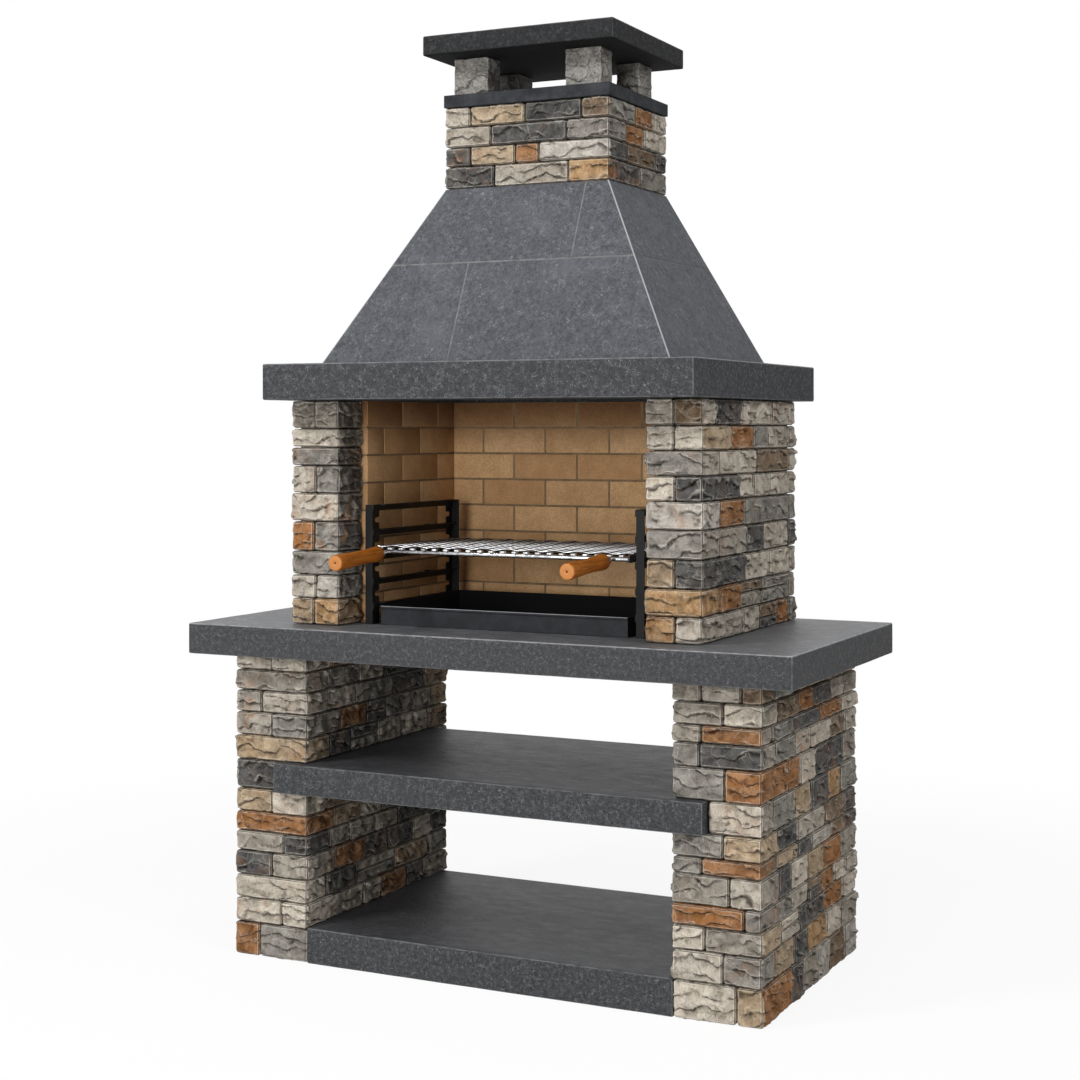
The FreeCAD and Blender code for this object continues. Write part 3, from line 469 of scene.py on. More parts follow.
# %% [markdown]
# Geometry nodes suit whatever follows a rule. Each tree in this lesson has named inputs for its sizes,
# turns its copies into plain mesh and sets the finish at its end. It runs once, on an object that only
# carries it, and the result is kept as an ordinary mesh, because that is all an export can take.


# %% Tree helpers
def geometry_tree(name, inputs):
    """A geometry node tree with named inputs, its graph, its input sockets and its output node."""
    tree = bpy.data.node_groups.new(name, "GeometryNodeTree")
    tree.interface.new_socket("Geometry", in_out="INPUT", socket_type="NodeSocketGeometry")
    tree.interface.new_socket("Geometry", in_out="OUTPUT", socket_type="NodeSocketGeometry")
    for label, kind in inputs:
        tree.interface.new_socket(label, in_out="INPUT", socket_type=f"NodeSocket{kind}")
    graph = Graph(tree)
    return tree, graph, graph.node("NodeGroupInput").outputs, graph.node("NodeGroupOutput").inputs


def named(graph, name, kind="FLOAT"):
    """A stored attribute, inside a geometry tree."""
    made = graph.node("GeometryNodeInputNamedAttribute", data_type=kind)
    made.inputs["Name"].default_value = name
    return next(s for s in made.outputs if s.enabled and s.name == "Attribute")


def finish_tree(graph, geometry, given, result):
    """Ends a tree: copies become plain mesh, and the mesh gets its finish."""
    whole = graph.feed(graph.node("GeometryNodeRealizeInstances"), geometry)[0]
    dressed = graph.node("GeometryNodeSetMaterial")
    graph.plug(dressed.inputs["Geometry"], whole)
    graph.plug(dressed.inputs["Material"], given["Finish"])
    graph.plug(result["Geometry"], dressed.outputs[0])


def run_tree(tree, mesh, **inputs):
    """The plain mesh that a tree makes of another mesh. Words of an input's name are joined by underlines."""
    carrier = bpy.data.objects.new("carrier", mesh)
    scene.collection.objects.link(carrier)
    modifier = carrier.modifiers.new("tree", "NODES")
    modifier.node_group = tree
    for item in tree.interface.items_tree:
        key = item.name.lower().replace(" ", "_")
        if item.in_out == "INPUT" and key in inputs:
            modifier[item.identifier] = inputs[key]
    evaluated = carrier.evaluated_get(bpy.context.evaluated_depsgraph_get())
    made = bpy.data.meshes.new_from_object(evaluated)
    carrier.modifiers.remove(modifier)
    bpy.data.objects.remove(carrier)
    made.name = mesh.name + "_finished"
    return made


print("tree helpers ready")

# %% [markdown]
# Split stone breaks along ledges: flat patches at different depths with short ragged steps between them.
# Level ledges, bent by a broad noise, hang over the stone below them and come and go along the face. Small
# leaning chips break the flats up. The rule is written down once, because the shape and the finish both
# follow it.

# %% Relief of a split face
MIDDLE = (0.5, 0.5, 0.5)     # a noise's colour varies round this
RAGGED_SCALE = 34.0
RAGGED_REACH = 22 * MM
LEDGE_PITCH = 32 * MM        # from one ledge to the next
LEDGE_SCALE = 11.0           # waves of the ledges in a metre
LEDGE_WAVE = 3.0             # how many ledges up or down the waves reach
LEDGE_DEPTH = 8 * MM
LEDGE_LIP = 0.15             # share of the way up that the overhang takes
LEDGE_MIDDLE = 0.55          # share of a ledge's depth that lies behind the face
BOLD_SCALE = 25.0            # bold stretches of a ledge in a metre
BOLD_RANGE = (0.36, 0.56)    # the noise at which a ledge is faint, and at which it is bold
FAINT = 0.12                 # depth of a faint ledge, as a share of a bold one's
CHIPS = 30.0                 # chips in a metre
CHIP_STEP = 4.2 * MM
CHIP_TILT = 0.55


def facets(graph, place, scale, step, tilt):
    """Height of flat chips that fill a surface, each with its own depth and lean, in metres."""
    cell = graph.node("ShaderNodeTexVoronoi")
    graph.plug(cell.inputs["Vector"], place)
    graph.plug(cell.inputs["Scale"], scale)
    lean = graph.vector("SUBTRACT", cell.outputs["Color"], MIDDLE)
    away = graph.vector("SUBTRACT", place, cell.outputs["Position"])
    slope = graph.times(graph.dot(lean, away), tilt)
    return graph.math("ADD", slope, graph.dot(lean, (step, 0.0, 0.0)))


def bent(graph, place):
    """A place shifted a little by noise, so that straight breaks turn ragged."""
    shift = graph.vector("SUBTRACT", graph.noise(place, RAGGED_SCALE, 3.0, 0.6, output=1), MIDDLE)
    return graph.vector("ADD", place, graph.scaled(shift, RAGGED_REACH))


def split_relief(graph, ragged):
    """Height of a split face, the share of the way up to the next ledge, and how bold the ledge is."""
    height = graph.dot(ragged, (0.0, 0.0, 1.0 / LEDGE_PITCH))
    wave = graph.times(graph.noise(ragged, LEDGE_SCALE, 1.5), LEDGE_WAVE)
    share = graph.math("FRACT", graph.math("ADD", height, wave))
    lip = graph.times(graph.remap(share, 0.0, LEDGE_LIP),
                      graph.remap(share, LEDGE_LIP, 1.0, 1.0, 0.0, smooth=False))
    vigour = graph.remap(graph.noise(ragged, BOLD_SCALE, 1.0), *BOLD_RANGE, FAINT, 1.0)
    rise = graph.times(graph.math("SUBTRACT", lip, LEDGE_MIDDLE), graph.times(vigour, LEDGE_DEPTH))
    return graph.math("ADD", rise, facets(graph, ragged, CHIPS, CHIP_STEP, CHIP_TILT)), share, vigour


print("a ledge every", LEDGE_PITCH / MM, "mm, and a chip every", round(1000 / CHIPS), "mm")

# %% [markdown]
# The tree moves the points of a block along their normals by that relief and by a finer grain. Edges move
# less, so that the joints stay even, and a slow sway keeps long edges from being dead straight. The place
# in the pattern is stored too, because the finish paints its highlights on the ridges and its shade in the
# hollows along the same ledges.

# %% Split-face tree
GRAIN_SCALE = 75.0
SWAY_SCALE = 11.0
EDGE_HOLD = 0.15             # share of the relief that is left at an edge


def split_face_tree():
    tree, graph, given, result = geometry_tree("split_face", [
        ("Relief share", "Float"), ("Grain height", "Float"), ("Wobble", "Float"), ("Edge width", "Float"),
        ("Finish", "Material")])
    place = graph.vector("ADD", graph.node("GeometryNodeInputPosition").outputs[0],
                         named(graph, "seed", "FLOAT_VECTOR"))
    relief, *_ = split_relief(graph, bent(graph, place))
    grain = graph.math("SUBTRACT", graph.noise(place, GRAIN_SCALE, 3.0, 0.6), 0.5)
    rise = graph.math("ADD", graph.times(relief, given["Relief share"]),
                      graph.times(grain, given["Grain height"]))
    firm = graph.remap(named(graph, "edge"), 0.0, given["Edge width"], EDGE_HOLD, 1.0)
    rise = graph.times(rise, graph.times(firm, named(graph, "shown")))
    along = graph.scaled(graph.node("GeometryNodeInputNormal").outputs[0], rise)
    sway = graph.vector("SUBTRACT", graph.noise(place, SWAY_SCALE, 1.0, output=1), MIDDLE)
    move = graph.vector("ADD", along, graph.scaled(sway, given["Wobble"]))
    stored = graph.node("GeometryNodeStoreNamedAttribute", data_type="FLOAT_VECTOR", domain="POINT")
    stored.inputs["Name"].default_value = "rock"
    graph.plug(stored.inputs["Geometry"], given["Geometry"])
    graph.plug(next(s for s in stored.inputs if s.enabled and s.name == "Value"), place)
    moved = graph.node("GeometryNodeSetPosition")
    graph.plug(moved.inputs["Geometry"], stored.outputs["Geometry"])
    graph.plug(moved.inputs["Offset"], move)
    finish_tree(graph, moved.outputs[0], given, result)
    return tree


split_face = split_face_tree()
print("split-face tree has", len(split_face.nodes), "nodes")

# %% [markdown]
# The stone's finish starts from each stone's own colour. Patches of a lighter and a darker shade run over
# it and some stones carry rust stains. Painted shade darkens the hollows and the foot of each ledge, a
# painted highlight pales each ledge's lip and the chips' edges, and the edges are paler from wear and a
# painted highlight. The finest flakes and the grain are only a bump, because they are smaller than the mesh.

# %% Stone finish
JOINT_MORTAR = paint(44, 38, 32)
FLAKES = 95.0                # small flakes in a metre
FLAKE_STEP = 2 * MM
FLAKE_TILT = 0.7


def weathered(graph, place, tint):
    """A stone's own colour with lighter, darker, rusty and ashen patches."""
    patches = graph.remap(graph.noise(place, 24.0, 5.0, 0.62), 0.3, 0.7)
    colour = graph.mix(patches, graph.tinted(tint, paint(208, 206, 204)),
                       graph.mix(0.1, tint, paint(226, 216, 200)))
    rust = graph.remap(graph.noise(place, 15.0, 5.0, 0.6, 0.6), 0.5, 0.7)
    colour = graph.mix(graph.times(rust, graph.attribute("stain")), colour, paint(156, 100, 48))
    ash = graph.noise(graph.vector("MULTIPLY", place, (1.0, 1.0, 2.2)), 13.0, 4.0, 0.6)
    ashen = graph.mix(0.5, tint, paint(124, 121, 118))
    return graph.mix(graph.remap(ash, 0.52, 0.66, 0.0, 0.38), colour, ashen)


def split_stone():
    made, graph, shader = material("split_stone")
    tint = graph.attribute("tint", "Color")
    place = graph.attribute("rock", "Vector")
    ragged = bent(graph, place)
    relief, share, vigour = split_relief(graph, ragged)
    colour = weathered(graph, place, tint)
    # painted shade: the hollows of the relief are darkened
    low = graph.remap(relief, -0.005, 0.001, 0.24, 0.0)
    colour = graph.mix(low, colour, graph.tinted(colour, paint(128, 118, 108)))
    here_and_there = graph.remap(graph.noise(place, 30.0, 2.0), 0.38, 0.62, 0.12, 0.75)
    # painted shadow under the lip of each bold ledge
    ledge_shadow = graph.math("MAXIMUM", graph.remap(share, 0.86, 0.98), graph.remap(share, 0.02, 0.08, 1.0, 0.0))
    ledge_shadow = graph.times(ledge_shadow, graph.times(vigour, 0.75))
    colour = graph.mix(ledge_shadow, colour, graph.tinted(colour, paint(84, 76, 68)))
    # painted highlight on the lip of each ledge and along the chips' edges
    ridge_highlight = graph.times(graph.remap(share, 0.06, 0.13), graph.remap(share, 0.15, 0.26, 1.0, 0.0))
    pale = graph.mix(0.5, tint, paint(238, 230, 216))
    crease = graph.remap(graph.cells(ragged, CHIPS, "DISTANCE_TO_EDGE"), 0.0, 0.045, 0.55, 0.0)
    ridge_highlight = graph.math("MAXIMUM", graph.times(ridge_highlight, vigour), crease)
    colour = graph.mix(graph.times(ridge_highlight, here_and_there), colour, pale)
    grain = graph.noise(place, 240.0, 4.0, 0.7)
    colour = graph.mix(graph.remap(grain, 0.3, 0.5, 0.42, 0.0), colour, paint(60, 54, 48))
    # paler edges: partly wear, partly a painted highlight along each arris
    edge = graph.attribute("edge")
    worn = graph.times(graph.remap(edge, 0.0014, 0.0024), graph.remap(edge, 0.003, 0.0055, 1.0, 0.0))
    colour = graph.mix(graph.times(worn, graph.math("MAXIMUM", here_and_there, 0.4)), colour, pale)
    colour = graph.mix(graph.remap(edge, 0.0004, 0.0024, 0.85, 0.0), colour, JOINT_MORTAR)
    graph.plug(shader["Base Color"], colour)
    graph.plug(shader["Roughness"], graph.remap(grain, 0.3, 0.7, 0.95, 0.75, smooth=False))
    broad = graph.bump(relief, 1.0, 0.8)
    fine = graph.math("ADD", graph.noise(place, 95.0, 6.0, 0.68), graph.times(grain, 0.4))
    flakes = graph.bump(facets(graph, ragged, FLAKES, FLAKE_STEP, FLAKE_TILT), 1.0, 0.85, broad)
    graph.plug(shader["Normal"], graph.bump(fine, 0.0075, 0.85, flakes))
    return made


stone_finish = split_stone()
print("stone finish has", len(stone_finish.node_tree.nodes), "nodes")

# %% [markdown]
# The stones' colours are the quarry's: cream, tan, ash, grey, slate, rust and gold. A mason mixes them by
# eye, so the faces that the photo shows are written down as rows of letters, a letter for each stone and a
# word for each course from the ground up. The other stones are drawn from the same heap with a fixed seed.

# %% Kinds of stone
STONE_COLOURS = {
    "c": (218, 208, 192), "n": (196, 187, 173), "t": (190, 167, 136), "a": (171, 163, 151),
    "g": (149, 145, 138), "l": (204, 198, 189), "s": (74, 75, 77), "r": (162, 109, 58),
    "o": (193, 155, 109), "b": (130, 108, 84),
}
HEAP = "ccnnaaagggglssstrob"
FRONT_ROWS = {
    "left_pier_stones": "rg cc c sa as r tc s t ag an a cc",
    "right_pier_stones": "ct ng ca rg an gr gt c gr gs ar ac aab",
    "left_jamb_stones": "to nl g rg c ng g c aa",
    "right_jamb_stones": "on o ts g l cs g cc ab",
    "chimney_stones": "sno strl nsg ctsb",
}
RIGHT_ROWS = {
    "left_pier_stones": "gsra cnrs sgtg rssc gaas tcsg bgra ng sgnc rsga cgst gnsb ragt",
    "right_pier_stones": "salb tsoc nsrc nsrc sctr tslb snbs gtso rcss gncb gsrc brsn gntb",
    # the left jamb's side towards the fire is listed nearly all as slate: painted shade for the shadow on it
    "left_jamb_stones": "b s s s s s s s s",
    "right_jamb_stones": "nsr rag ccn asn rgg cnn cbn rgn scnn",
    "chimney_stones": "g bs rc rc",
}
CORNER_ROWS = {              # a corner stone's other face, round the right-hand corner
    "right_pier_stones": "r g t g a b t a r a a n b",
    "right_jamb_stones": "n o s a l s n t n",
    "chimney_stones": "s s g g",
}
print(len(STONE_COLOURS), "kinds of stone")

# %% [markdown]
# A laid stone stops a little short of its neighbours, which leaves a dark joint, and its split faces stand
# proud of its squared edges. Some of the model's corner stones are L-shaped, so they are taken apart into
# two plain boxes that run into each other without a joint. Here and there two thin stones take up the
# height of one.

# %% One laid stone
FACE_SLACK = 6 * MM          # a stone's face lies back at most this far from the wall's face
BULGE = 3.5 * MM             # split faces stand proud of their squared edges
EDGE_RADIUS = 7 * MM
THIN_RADIUS = 0.17           # the radius is at most this share of a stone's height
JOINTS = (1.4 * MM, 3.0 * MM, 1.2 * MM)    # each stone stops this far short of its neighbour, along x, y, z
STONE_CELL = 4.4 * MM
SPLIT_HEIGHT = 44 * MM       # only stones higher than this lie in two halves
SPLIT_SPREAD = (0.42, 0.58)  # the upper half starts at such a share of the height
SHADE_SPREAD = (0.9, 1.08)   # stones of a kind differ by this much
RUSTY_KINDS = "ro"
RUSTY_SHARE = 0.07           # share of the other kinds that is rusty too
RUSTY_STAIN, FAINT_STAIN = (0.5, 1.0), (0.0, 0.4)
SEED_REACH = 20              # each stone's pattern starts somewhere within this reach, metres
UPRIGHT_SIDES = [(axis, end) for axis in (0, 1) for end in (0, 1)]
DIGITS = 5                   # decimals that count when places are compared, in metres


def shown_sides(low, high, wall_low, wall_high):
    """Which upright sides of a stone lie on the wall's outside."""
    return [(axis, end) for axis, end in UPRIGHT_SIDES
            if abs((low, high)[end][axis] - (wall_low, wall_high)[end][axis]) < FACE_SLACK]


def legs(corners):
    """The one or two plain boxes that make up a block: an L has two, which meet without a joint."""
    low, high = corners.min(0), corners.max(0)
    xs, ys = (sorted(set(corners[:, axis].round(DIGITS))) for axis in (0, 1))
    if len(xs) < 3 or len(ys) < 3:
        return [(low, high)]
    inner = (xs[1], ys[1])
    present = {(round(x, DIGITS), round(y, DIGITS)) for x, y, _ in corners}
    front = (xs[0], ys[0]) in present and (xs[2], ys[0]) in present
    left = (xs[0], ys[0]) in present and (xs[0], ys[2]) in present
    across = (np.array([low[0], low[1] if front else inner[1], low[2]]),
              np.array([high[0], inner[1] if front else high[1], high[2]]))
    along = (np.array([low[0] if left else inner[0], low[1], low[2]]),
             np.array([inner[0] if left else high[0], high[1], high[2]]))
    overlap = 2 * EDGE_RADIUS + JOINTS[1]
    if front:
        along[0][1] = inner[1] - overlap
    else:
        along[1][1] = inner[1] + overlap
    return [across, along]


def dressed_stone(corners, letter, draw, wall_low, wall_high, split=False):
    """The rounded blocks of one stone, with tint, stain and pattern seed. A split one lies in two halves."""
    boxes = legs(corners)
    low, high = boxes[0]
    if split and len(boxes) == 1 and high[2] - low[2] > SPLIT_HEIGHT:
        level = low[2] + (high[2] - low[2]) * draw.uniform(*SPLIT_SPREAD)
        lower, upper = corners.copy(), corners.copy()
        lower[:, 2] = np.minimum(lower[:, 2], level)
        upper[:, 2] = np.maximum(upper[:, 2], level)
        halves = [(lower, letter), (upper, draw.choice(HEAP))]
        return [part for half, kind in halves
                for part in dressed_stone(half, kind, draw, wall_low, wall_high)]
    shade = draw.uniform(*SHADE_SPREAD)
    tint = [min(1.0, value * shade) for value in paint(*STONE_COLOURS[letter])[:3]] + [1.0]
    rusty = draw.random() < RUSTY_SHARE or letter in RUSTY_KINDS
    stain = draw.uniform(*(RUSTY_STAIN if rusty else FAINT_STAIN))
    seed = [draw.uniform(-SEED_REACH, SEED_REACH) for _ in range(3)]
    made = []
    for low, high in boxes:
        shown = shown_sides(low, high, wall_low, wall_high)
        gap_low, gap_high = ([-BULGE if (axis, end) in shown else JOINTS[axis] for axis in range(3)]
                             for end in (0, 1))
        radius = min(EDGE_RADIUS, THIN_RADIUS * (high[2] - low[2]))
        part = rounded_block(low + gap_low, high - gap_high, shown, radius, STONE_CELL)
        made.append(part | {"tint": tint, "stain": [stain], "seed": seed})
    return made


print("stones have edges of", EDGE_RADIUS / MM, "mm")

# %% [markdown]
# Which letter belongs to which stone follows from where it lies. Stones are sorted into courses by their
# height, and in a course from left to right at the front and from front to back at the side. A corner stone
# may show another colour round the corner. Panels of dark mortar stand a little behind the faces and close
# the joints.

# %% One wall
FRONT, RIGHT = (1, 0), (0, 1)    # a side is an axis, and its low or its high end
SPLIT_SHARE = 0.08           # share of the stones behind the front that lie in two thin halves
WALL_SHADES = {"chimney_stones": 0.86}
# painted shade on the left walls' sides towards the fire or the bay
PAINTED_SIDE_SHADE = {"left_jamb_stones": 0.36, "left_pier_stones": 0.68}    # sides towards the fire or the bay
COURSE_DIGITS = 3            # stones of one course lie level to so many decimals of a metre
JOINT_DEPTH = 15 * MM
BACKING_RADIUS = 1 * MM


def rows_of(stones):
    """The stones sorted into courses from the ground up."""
    courses = {}
    for stone in stones:
        courses.setdefault(round(stone["low"][2], COURSE_DIGITS), []).append(stone)
    return [courses[z] for z in sorted(courses)]


def turn_corner(part, letter, wall_low, wall_high):
    """Gives the right-hand face of a corner stone a colour of its own."""
    x, y, _ = part["points"].T
    round_corner = (x > wall_high[0] - FACE_SLACK) & (y > wall_low[1] + EDGE_RADIUS)
    part["tint"] = np.where(round_corner[:, None], paint(*STONE_COLOURS[letter]), part["tint"])


def joint_backing(low, high):
    """Dark mortar deep in the joints: four upright panels a little behind the wall's faces."""
    panels = []
    for axis, end in UPRIGHT_SIDES:
        panel_low, panel_high = low + JOINT_DEPTH, high - JOINT_DEPTH
        if end:
            panel_low[axis] = panel_high[axis] - JOINT_DEPTH
        else:
            panel_high[axis] = panel_low[axis] + JOINT_DEPTH
        panel = rounded_block(panel_low, panel_high, [], BACKING_RADIUS)
        panels.append(panel | PLAIN | {"tint": JOINT_MORTAR})
    return panels


def shade_wall(node, parts, wall_high):
    """Darkens a wall by its own shade, and paints shade on its right-hand side, which lies in shadow."""
    for part in parts:
        right_side = part["points"][:, 0] > wall_high[0] - FACE_SLACK
        shade = np.where(right_side, PAINTED_SIDE_SHADE.get(node, 1.0), 1.0) * WALL_SHADES.get(node, 1.0)
        part["tint"] = shade[:, None] * np.asarray(part["tint"])


def row_of(stone):
    """The row of letters that a stone belongs to."""
    if FRONT in stone["sides"]:
        return "front"
    return "right" if RIGHT in stone["sides"] else "rest"


def stone_parts(node):
    """Rounded blocks of all the stones of a wall, with their colours."""
    draw = random.Random(node)
    wall_low, wall_high = (np.array(corner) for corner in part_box(node))
    stones = [{"low": corners.min(0), "corners": corners,
               "sides": shown_sides(corners.min(0), corners.max(0), wall_low, wall_high)}
              for corners in stone_blocks[node]]
    courses = rows_of(stones)
    turned = CORNER_ROWS.get(node, ". " * len(courses)).split()
    parts = []
    letters = zip(courses, FRONT_ROWS[node].split(), RIGHT_ROWS[node].split(), turned)
    for course, front, right, corner in letters:
        for row, axis, known in (("front", 0, front), ("right", 1, right), ("rest", 1, "")):
            laid = sorted((s for s in course if row_of(s) == row), key=lambda s: s["low"][axis])
            for place, stone in enumerate(laid):
                letter = known[place] if place < len(known) else draw.choice(HEAP)
                split = row != "front" and draw.random() < SPLIT_SHARE and len(stone["sides"]) < 2
                laid_parts = dressed_stone(stone["corners"], letter, draw, wall_low, wall_high, split)
                if row == "front" and RIGHT in stone["sides"] and corner in STONE_COLOURS:
                    for part in laid_parts:
                        turn_corner(part, corner, wall_low, wall_high)
                parts += laid_parts
    shade_wall(node, parts, wall_high)
    return parts + joint_backing(wall_low, wall_high)


wall_parts = {node: stone_parts(node) for node in STONE_NODES}
for node, parts in wall_parts.items():
    print(node, len(parts), "blocks")

# %% [markdown]
# Now the blocks become meshes. A whole pier would be one very large mesh, so a wall is shared out over
# several pieces, and each goes through the split-face tree.

# %% Stone walls
PIECE_FACES = 80000          # a wall with more faces than this is kept as several pieces
STONE_RELIEF = {"relief_share": 1.0, "grain_height": 2.5 * MM, "wobble": 2 * MM, "edge_width": 11 * MM}


def shared_out(parts):
    """The blocks in groups that each make a mesh of handy size."""
    groups = [[]]
    faces = 0
    for part in parts:
        if faces + len(part["faces"]) > PIECE_FACES:
            groups.append([])
            faces = 0
        groups[-1].append(part)
        faces += len(part["faces"])
    return groups


for node, parts in wall_parts.items():
    name = node.replace("_stones", "_split_stones")
    for number, group in enumerate(shared_out(parts), 1):
        wall = run_tree(split_face, mesh_of(node, group), finish=stone_finish, **STONE_RELIEF)
        add_piece(f"{name}_{number}", wall, "masonry", "ledge_stone", node)
        print(node, number, len(wall.polygons), "faces")

# %% [markdown]
# The slabs are sawn and leathered granite: charcoal, with fine pale hair lines on the edges, smoother and
# faintly streaked on top, and a thin paler arris, partly worn and partly a painted highlight. The worktop is
# wiped most often, so it has a finish with more polish, and its top mirrors the bright studio a little.


# %% Granite finish
def leathered(graph, place, scale):
    """Fine wrinkles of a brushed stone, and the pale hair lines along their crests."""
    wrinkles = graph.noise(place, scale, 3.0, 0.6, 1.0)
    swell = graph.noise(place, 0.7 * scale, 1.5, 0.5, 1.4)
    crest = graph.math("ABSOLUTE", graph.math("SUBTRACT", swell, 0.5))
    hairs = graph.remap(crest, 0.0, 0.03, 1.0, 0.0)
    return wrinkles, graph.times(hairs, graph.remap(graph.noise(place, 0.4 * scale, 1.0), 0.42, 0.62))


def slab_granite(name, polish):
    made, graph, shader = material(name, polish)
    place = graph.here()
    level = graph.attribute("level")
    wrinkles, hairs = leathered(graph, place, 250.0)
    side = graph.mix(graph.remap(wrinkles, 0.3, 0.7), paint(50, 51, 53), paint(76, 77, 79))
    side = graph.mix(graph.times(hairs, 0.8), side, paint(156, 157, 159))
    streak = graph.noise(graph.here((5.0, 13.0, 13.0), (0, 0, 12)), 3.0, 6.0, 0.7)
    top = graph.mix(graph.remap(streak, 0.3, 0.72), paint(51, 52, 54), paint(68, 69, 72))
    dust = graph.remap(graph.noise(graph.here((0.6, 1.0, 1.0)), 46.0, 6.0, 0.72), 0.44, 0.72, 0.0, 0.42)
    top = graph.mix(dust, top, paint(106, 107, 110))
    top = graph.mix(graph.times(hairs, 0.26), top, paint(134, 135, 137))
    colour = graph.mix(level, side, top)
    # paler arris: partly wear, partly a painted highlight
    worn = graph.remap(graph.attribute("edge"), 0.0012, 0.0035, 1.0, 0.0)
    chips = graph.remap(graph.noise(place, 45.0, 4.0), 0.32, 0.6, 0.2, 0.7)
    colour = graph.mix(graph.times(worn, chips), colour, paint(128, 129, 131))
    colour = graph.tinted(colour, graph.attribute("tint", "Color"))
    graph.plug(shader["Base Color"], colour)
    wiped = graph.remap(streak, 0.3, 0.7, 0.36, 0.48)
    graph.plug(shader["Roughness"], graph.remap(level, 0, 1, 0.9, wiped, smooth=False))
    rough = graph.times(wrinkles, graph.remap(level, 0, 1, 1.0, 0.34, smooth=False))
    graph.plug(shader["Normal"], graph.bump(rough, 0.008, 0.8))
    return made


slab_finish = slab_granite("slab_granite", 0.2)
worktop_finish = slab_granite("worktop_granite", 0.5)
print("granite finish has", len(slab_finish.node_tree.nodes), "nodes")

# %% [markdown]
# The slabs are the same rounded blocks as the stones, with a small radius and hardly any relief, so that
# long straight edges read as stone and not as plastic. Each has its own shade. Painted light makes the
# worktop's top paler, and painted shade darkens the tops of the shelf and the base and blackens the cap's
# underside. The mantel has a hole for the smoke.

# %% Slabs
SLABS = ("base_slab", "middle_shelf", "worktop_slab", "mantel_slab", "cap_slab")
ALL_SIDES = [(axis, end) for axis in range(3) for end in (0, 1)]
SLAB_RADIUS = 4 * MM
SLAB_CELL = 16 * MM
SLAB_RELIEF = {"relief_share": 0.0, "grain_height": 0.7 * MM, "wobble": 1 * MM, "edge_width": 8 * MM}
SLAB_SHADES = {"cap_slab": 0.4, "worktop_slab": 0.79}
# painted light on the worktop's top, and painted shade on the tops of the shelf and the base below it
PAINTED_TOP_LIGHT = {"worktop_slab": 2.0, "middle_shelf": 0.78, "base_slab": 0.78}    # times the slab's own shade
# painted shade: the cap's underside is blackened
PAINTED_UNDER_SHADE = {"cap_slab": 0.1}     # the same for undersides
SMOKE_HOLE = ((-0.37, 0.37), (-0.23, 0.22))    # along x and y, metres
for number, node in enumerate(SLABS):
    low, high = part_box(node)
    hole = SMOKE_HOLE if node == "mantel_slab" else None
    part = rounded_block(low, high, ALL_SIDES, SLAB_RADIUS, SLAB_CELL, hole)
    under = part["points"][:, 2] < low.z + 0.5 * SLAB_RADIUS
    part["level"][under] = 0.0
    shades = np.where(part["level"], PAINTED_TOP_LIGHT.get(node, 1.0), 1.0) * SLAB_SHADES.get(node, 1.0)
    shades[under] *= PAINTED_UNDER_SHADE.get(node, 1.0)
    part |= PLAIN | {"seed": [number, 0, 0], "tint": np.outer(shades, PLAIN["tint"])}
    finish = worktop_finish if node == "worktop_slab" else slab_finish
    slab = run_tree(split_face, mesh_of(node, [part]), finish=finish, **SLAB_RELIEF)
    add_piece(node.replace("_slab", "") + "_granite", slab, "masonry", "slab_granite", node)
    print(node, len(slab.polygons), "faces")

# %% [markdown]
# The firebox is lined with buff fire bricks in half bond. Each brick is a small block with a soft edge and
# its own shade of buff, and soot together with painted shade from the mantel darkens the upper courses. The
# grit is finer than any mesh, so it is a bump.

# %% Fire bricks
LININGS = ("left", "right", "rear")
SOOT_AND_SHADE_LEVELS = (1.2, 1.38)    # soot and painted shade start at the first height and are thickest from the second on, metres
BRICK_RADIUS = 2.2 * MM
BRICK_SEED_REACH = 9
BRICK_DIGITS = 4             # decimals that count when bricks are put in order
BRICK_COLOURS = ((230, 187, 138), (218, 175, 128), (242, 200, 153), (205, 160, 113))


def fire_brick():
    made, graph, shader = material("fire_brick")
    place = graph.here()
    tint = graph.attribute("tint", "Color")
    patches = graph.remap(graph.noise(place, 18.0, 4.0, 0.6), 0.3, 0.7)
    colour = graph.mix(patches, graph.tinted(tint, paint(232, 228, 222)), tint)
    grit = graph.remap(graph.noise(place, 330.0, 4.0, 0.7), 0.35, 0.7)
    colour = graph.mix(graph.times(grit, 0.5), colour, paint(128, 94, 62))
    # soot, and painted shade under the mantel, darken the upper courses
    soot_and_shade = graph.times(graph.remap(graph.axes(place)["Z"], *SOOT_AND_SHADE_LEVELS), 0.9)
    colour = graph.mix(soot_and_shade, colour, graph.tinted(colour, paint(122, 90, 54)))
    worn = graph.remap(graph.attribute("edge"), 0.0005, 0.003, 0.3, 0.0)
    colour = graph.mix(worn, colour, paint(206, 176, 138))
    graph.plug(shader["Base Color"], colour)
    shader["Roughness"].default_value = 0.9
    graph.plug(shader["Normal"], graph.bump(graph.noise(place, 240.0, 5.0, 0.65), 0.0016, 0.7))
    return made


brick_finish = fire_brick()
for side in LININGS:
    node = f"{side}_lining_bricks"
    draw = random.Random(node)
    parts = []
    for corners in sorted(blocks(node), key=lambda c: tuple(c.min(0).round(BRICK_DIGITS))):
        part = rounded_block(corners.min(0), corners.max(0), [], BRICK_RADIUS)
        tint = paint(*draw.choice(BRICK_COLOURS))
        seed = [draw.uniform(-BRICK_SEED_REACH, BRICK_SEED_REACH) for _ in range(3)]
        parts.append(part | PLAIN | {"tint": tint, "seed": seed})
    bricks = mesh_of(node, parts)
    bricks.materials.append(brick_finish)
    add_piece(node.replace("_lining", "_fire"), bricks, "masonry", "fire_brick", node)
    print(node, len(parts), "bricks")

